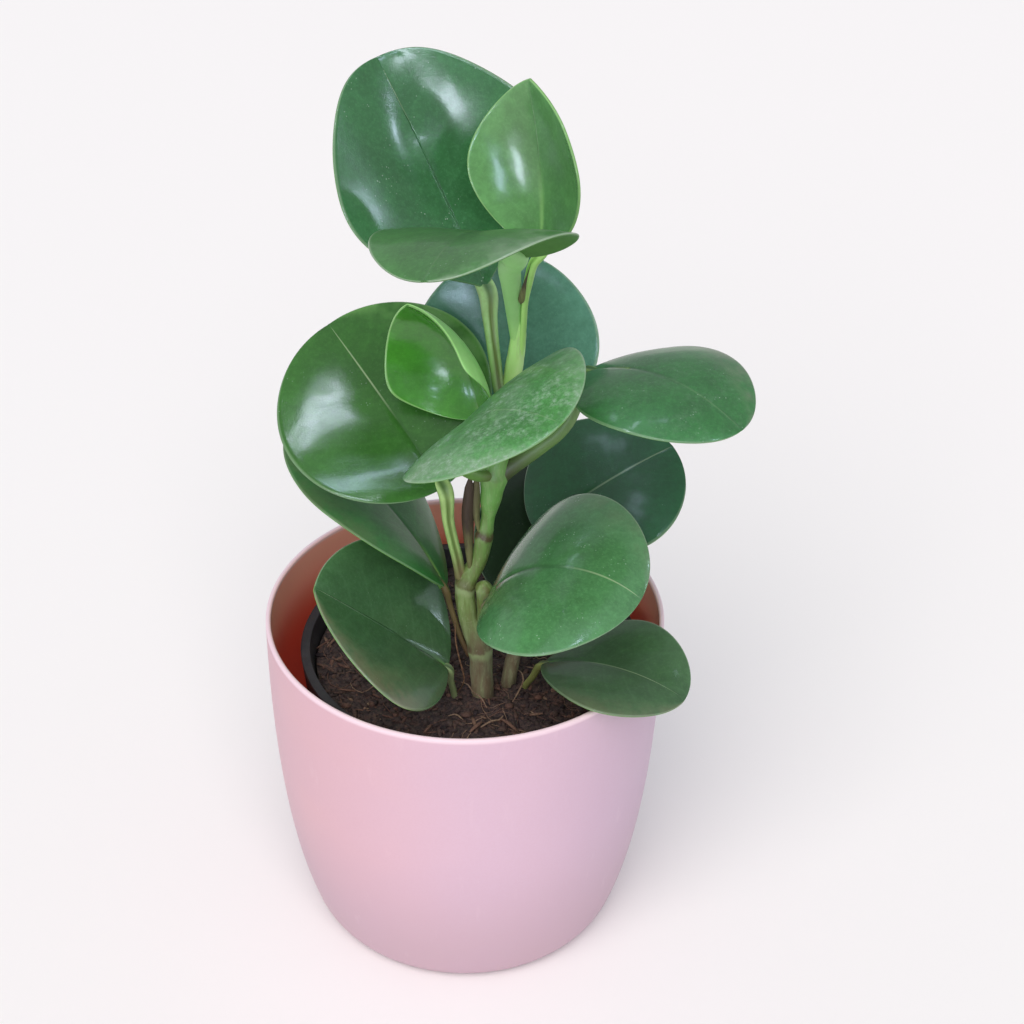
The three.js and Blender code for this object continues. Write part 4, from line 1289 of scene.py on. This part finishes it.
def leafSkin(name, leaf):
    look = Look(name + "Skin")
    young = name in youngLeaves
    green = leaf["green"]
    along, across, face, stalk, ridge, run, isStalk = (look.worn(label) for label in leafMarks)
    aside = abs(across)
    wide = aside * (leaf["width"] / 2)  # millimetres from the midrib, about
    patches, cells = look.clouds(16, 4, 0.6), look.clouds(0.55, 2, 0.5)
    streaks, mottle = look.clouds(3.4, 4, 0.6), look.clouds(1.2, 3, 0.7)
    uneven = lerp(0.07, 0.2, leaf["dust"] ** 2)
    pores = look.grains(0.8).step(0.30, 0.16) * cells.step(0.42, 0.6)

    # side veins sweep from the midrib towards the tip and hardly show
    count, sweep = leafForm["sideVeins"], leafForm["veinSweep"]
    phase = along * count - aside ** 1.2 * (count * sweep) + look.clouds(14, 2, 0.5) * 0.5
    vein = abs(phase.fraction() - 0.5).step(0.40, 0.5) * wide.step(0.5, 4) * aside.step(0.9, 0.5)

    # midrib: a crease darkened with painted shade, that turns into a fine pale line towards the tip
    crease, line, start = leaf["midrib"]
    creaseShade = wide.step(1.5, 0.3) * along.step(start + 0.1, start - 0.2)
    fine = wide.step(0.55, 0.2) * along.step(start - 0.15, start + 0.15) * along.step(1.0, 0.95)
    throatColor, throatWidth, throatReach = leaf["throat"]
    throat = wide.step(throatWidth, 0.3) * along.step(throatReach, 0.02)

    # upper face: deeper green in the middle, fresher at the margin and the tip, with a pale rounded margin
    color = look.coats(
        look.mix(patches.step(0.3, 0.7), shade(green, 0.86), green),
        (aside.step(0.35, 1.0) * 0.4 + along.step(0.55, 1.0) * 0.2, shade(green, 1.12, 6)),
        (streaks.step(0.4, 0.62) * 0.24, shade(green, 0.74)),
        (mottle.step(0.48, 0.66) * uneven, shade(green, 1.3, 22)),
        (mottle.step(0.48, 0.32) * uneven, shade(green, 0.66)),
        (pores * 0.10, shade(green, 1.25, 30)),
        (vein * (0.04 if young else 0.05), shade(green, 1.3, 26)),
        (creaseShade * crease, shade(green, 0.62)),
        (fine * line, leafForm["fineLine"]),
        (throat * 0.7, throatColor),
        (aside.step(0.981, 0.999) * leaf["rim"], leafForm["youngMargin" if young else "margin"]))

    # white dust and dried drops on the upper face
    clusters, bright = look.clouds(11, 3, 0.6), look.clouds(3.1, 1, 0.5)
    specks = look.grains(1.5).step(0.20, 0.06) * clusters.step(0.5, 0.64) * bright.step(0.32, 0.58)
    smears = look.clouds(2.6, 5, 0.8).step(0.42, 0.74) * clusters.step(0.34, 0.58)
    dust = specks * min(1.0, leaf["dust"] * 1.1) + smears * max(0.0, leaf["dust"] - 0.55) * 1.9
    dust = dust.least(0.9) * face.step(0.0, 0.6)
    color = look.mix(dust * 0.72, color, leafForm["dustColor"])

    # a dull haze that lies along one margin, or both; on the middle left leaf the same mask paints light, a
    # lighter green along one margin
    if leaf["hazeAndPaintedLight"]:
        strength, side, hazeAndLightColor = leaf["hazeAndPaintedLight"]
        margin = across * side if side else aside
        hazeAndPaintedLight = (margin + (patches - 0.5) * 0.5).step(0.45, 1.05) * clusters.step(0.3, 0.6)
        color = look.mix(hazeAndPaintedLight * along.step(0.1, 0.45) * strength, color, hazeAndLightColor)

    underLight, underDark = leaf["under"]
    under = look.coats(underLight, (streaks.step(0.3, 0.8) * 0.6, underDark),
                       (wide.step(1.6, 0.4) * 0.5, leafForm["underRib"]))
    ridgeColor, channelColor, footColor = leaf["stalkColors"]
    stalkColor = look.coats(
        channelColor, (ridge.step(0.0, 1.0), ridgeColor), (streaks.step(0.45, 0.7) * 0.25, channelColor),
        (stalk.step(leaf["footReach"], 0.02) * 0.8, footColor), (run * 0.85, shade(green, 0.8)))

    gloss, shine = leaf["gloss"], leaf["shine"]
    top = face.step(-0.2, 0.2) * (1 - isStalk)
    return look.finish({
        "Base Color": look.coats(color, (face.step(0.1, -0.3), under), (isStalk, stalkColor)),
        "Roughness": gloss + (1 - top) * (0.42 - gloss) + dust * 0.35 + patches * 0.05,
        "Normal": look.bump(cells * 0.7 + streaks * 0.6 + mottle * 0.6 + dust * 0.4, 0.09, 0.5),
        "Specular IOR Level": shine,
        "Coat Weight": top * (1 - dust) * (shine * 0.7),
        "Coat Roughness": 0.12,
        "Subsurface Weight": 0.05,
        "Subsurface Radius": (0.001, 0.003, 0.0006),
    })


def makeLeaf(name, leaf, seed):
    points, faces, *bladeMarks = bladeRings(leaf, seed)
    stalkPoints, stalkFaces, *stalkMarks = stalkRings(leaf)
    start, more = len(points), len(stalkPoints)
    faces += [tuple(start + k for k in face) for face in stalkFaces]
    bladeMarks += [[value] * start for value in (1.0, 0.0, 0.0, 0.0)]
    stalkMarks = [[0.0] * more] * 3 + stalkMarks + [[1.0] * more]
    worn = {label: blade + tube for label, blade, tube in zip(leafMarks, bladeMarks, stalkMarks)}
    body = makeObject(name, points + stalkPoints, faces, leafSkin(name, leaf), worn)
    place(body, "young_leaf" if name in youngLeaves else "leaf", leaf["node"])


def makeLeaves():
    for seed, (name, leaf) in enumerate(leaves.items(), 1):
        makeLeaf(name, {**plainLeaf, **leaf}, seed)
    print("leaves grown:", len(leaves))


# Floor

def paleFloor():
    look = Look("paleFloor")
    cloudy = look.clouds(420, 2, 0.5)
    base = studio["floorColor"]
    return look.finish({
        "Base Color": look.mix(cloudy * 0.25, base, shade(base, 1, -5)),
        "Roughness": 0.85,
        "Specular IOR Level": 0.2,
    })


def makeFloor():
    radius, drop, sides = studio["floorRadius"], studio["floorDrop"], studio["floorSides"]
    points = [(0, 0, -drop), *((radius * x, radius * y, -drop) for x, y in circle(sides))]
    makeObject("floor", points, fan(0, sides, 1), paleFloor())
    print("floor laid")


makeCamera()
makeLight()
makeFloor()
makeCoverPot()
makeNurseryPot()
makeSoil()
makeCrumbs()
makeFibres()
makeCurlyRoot()
makeStems()
makeDriedScales()
makeLeaves()
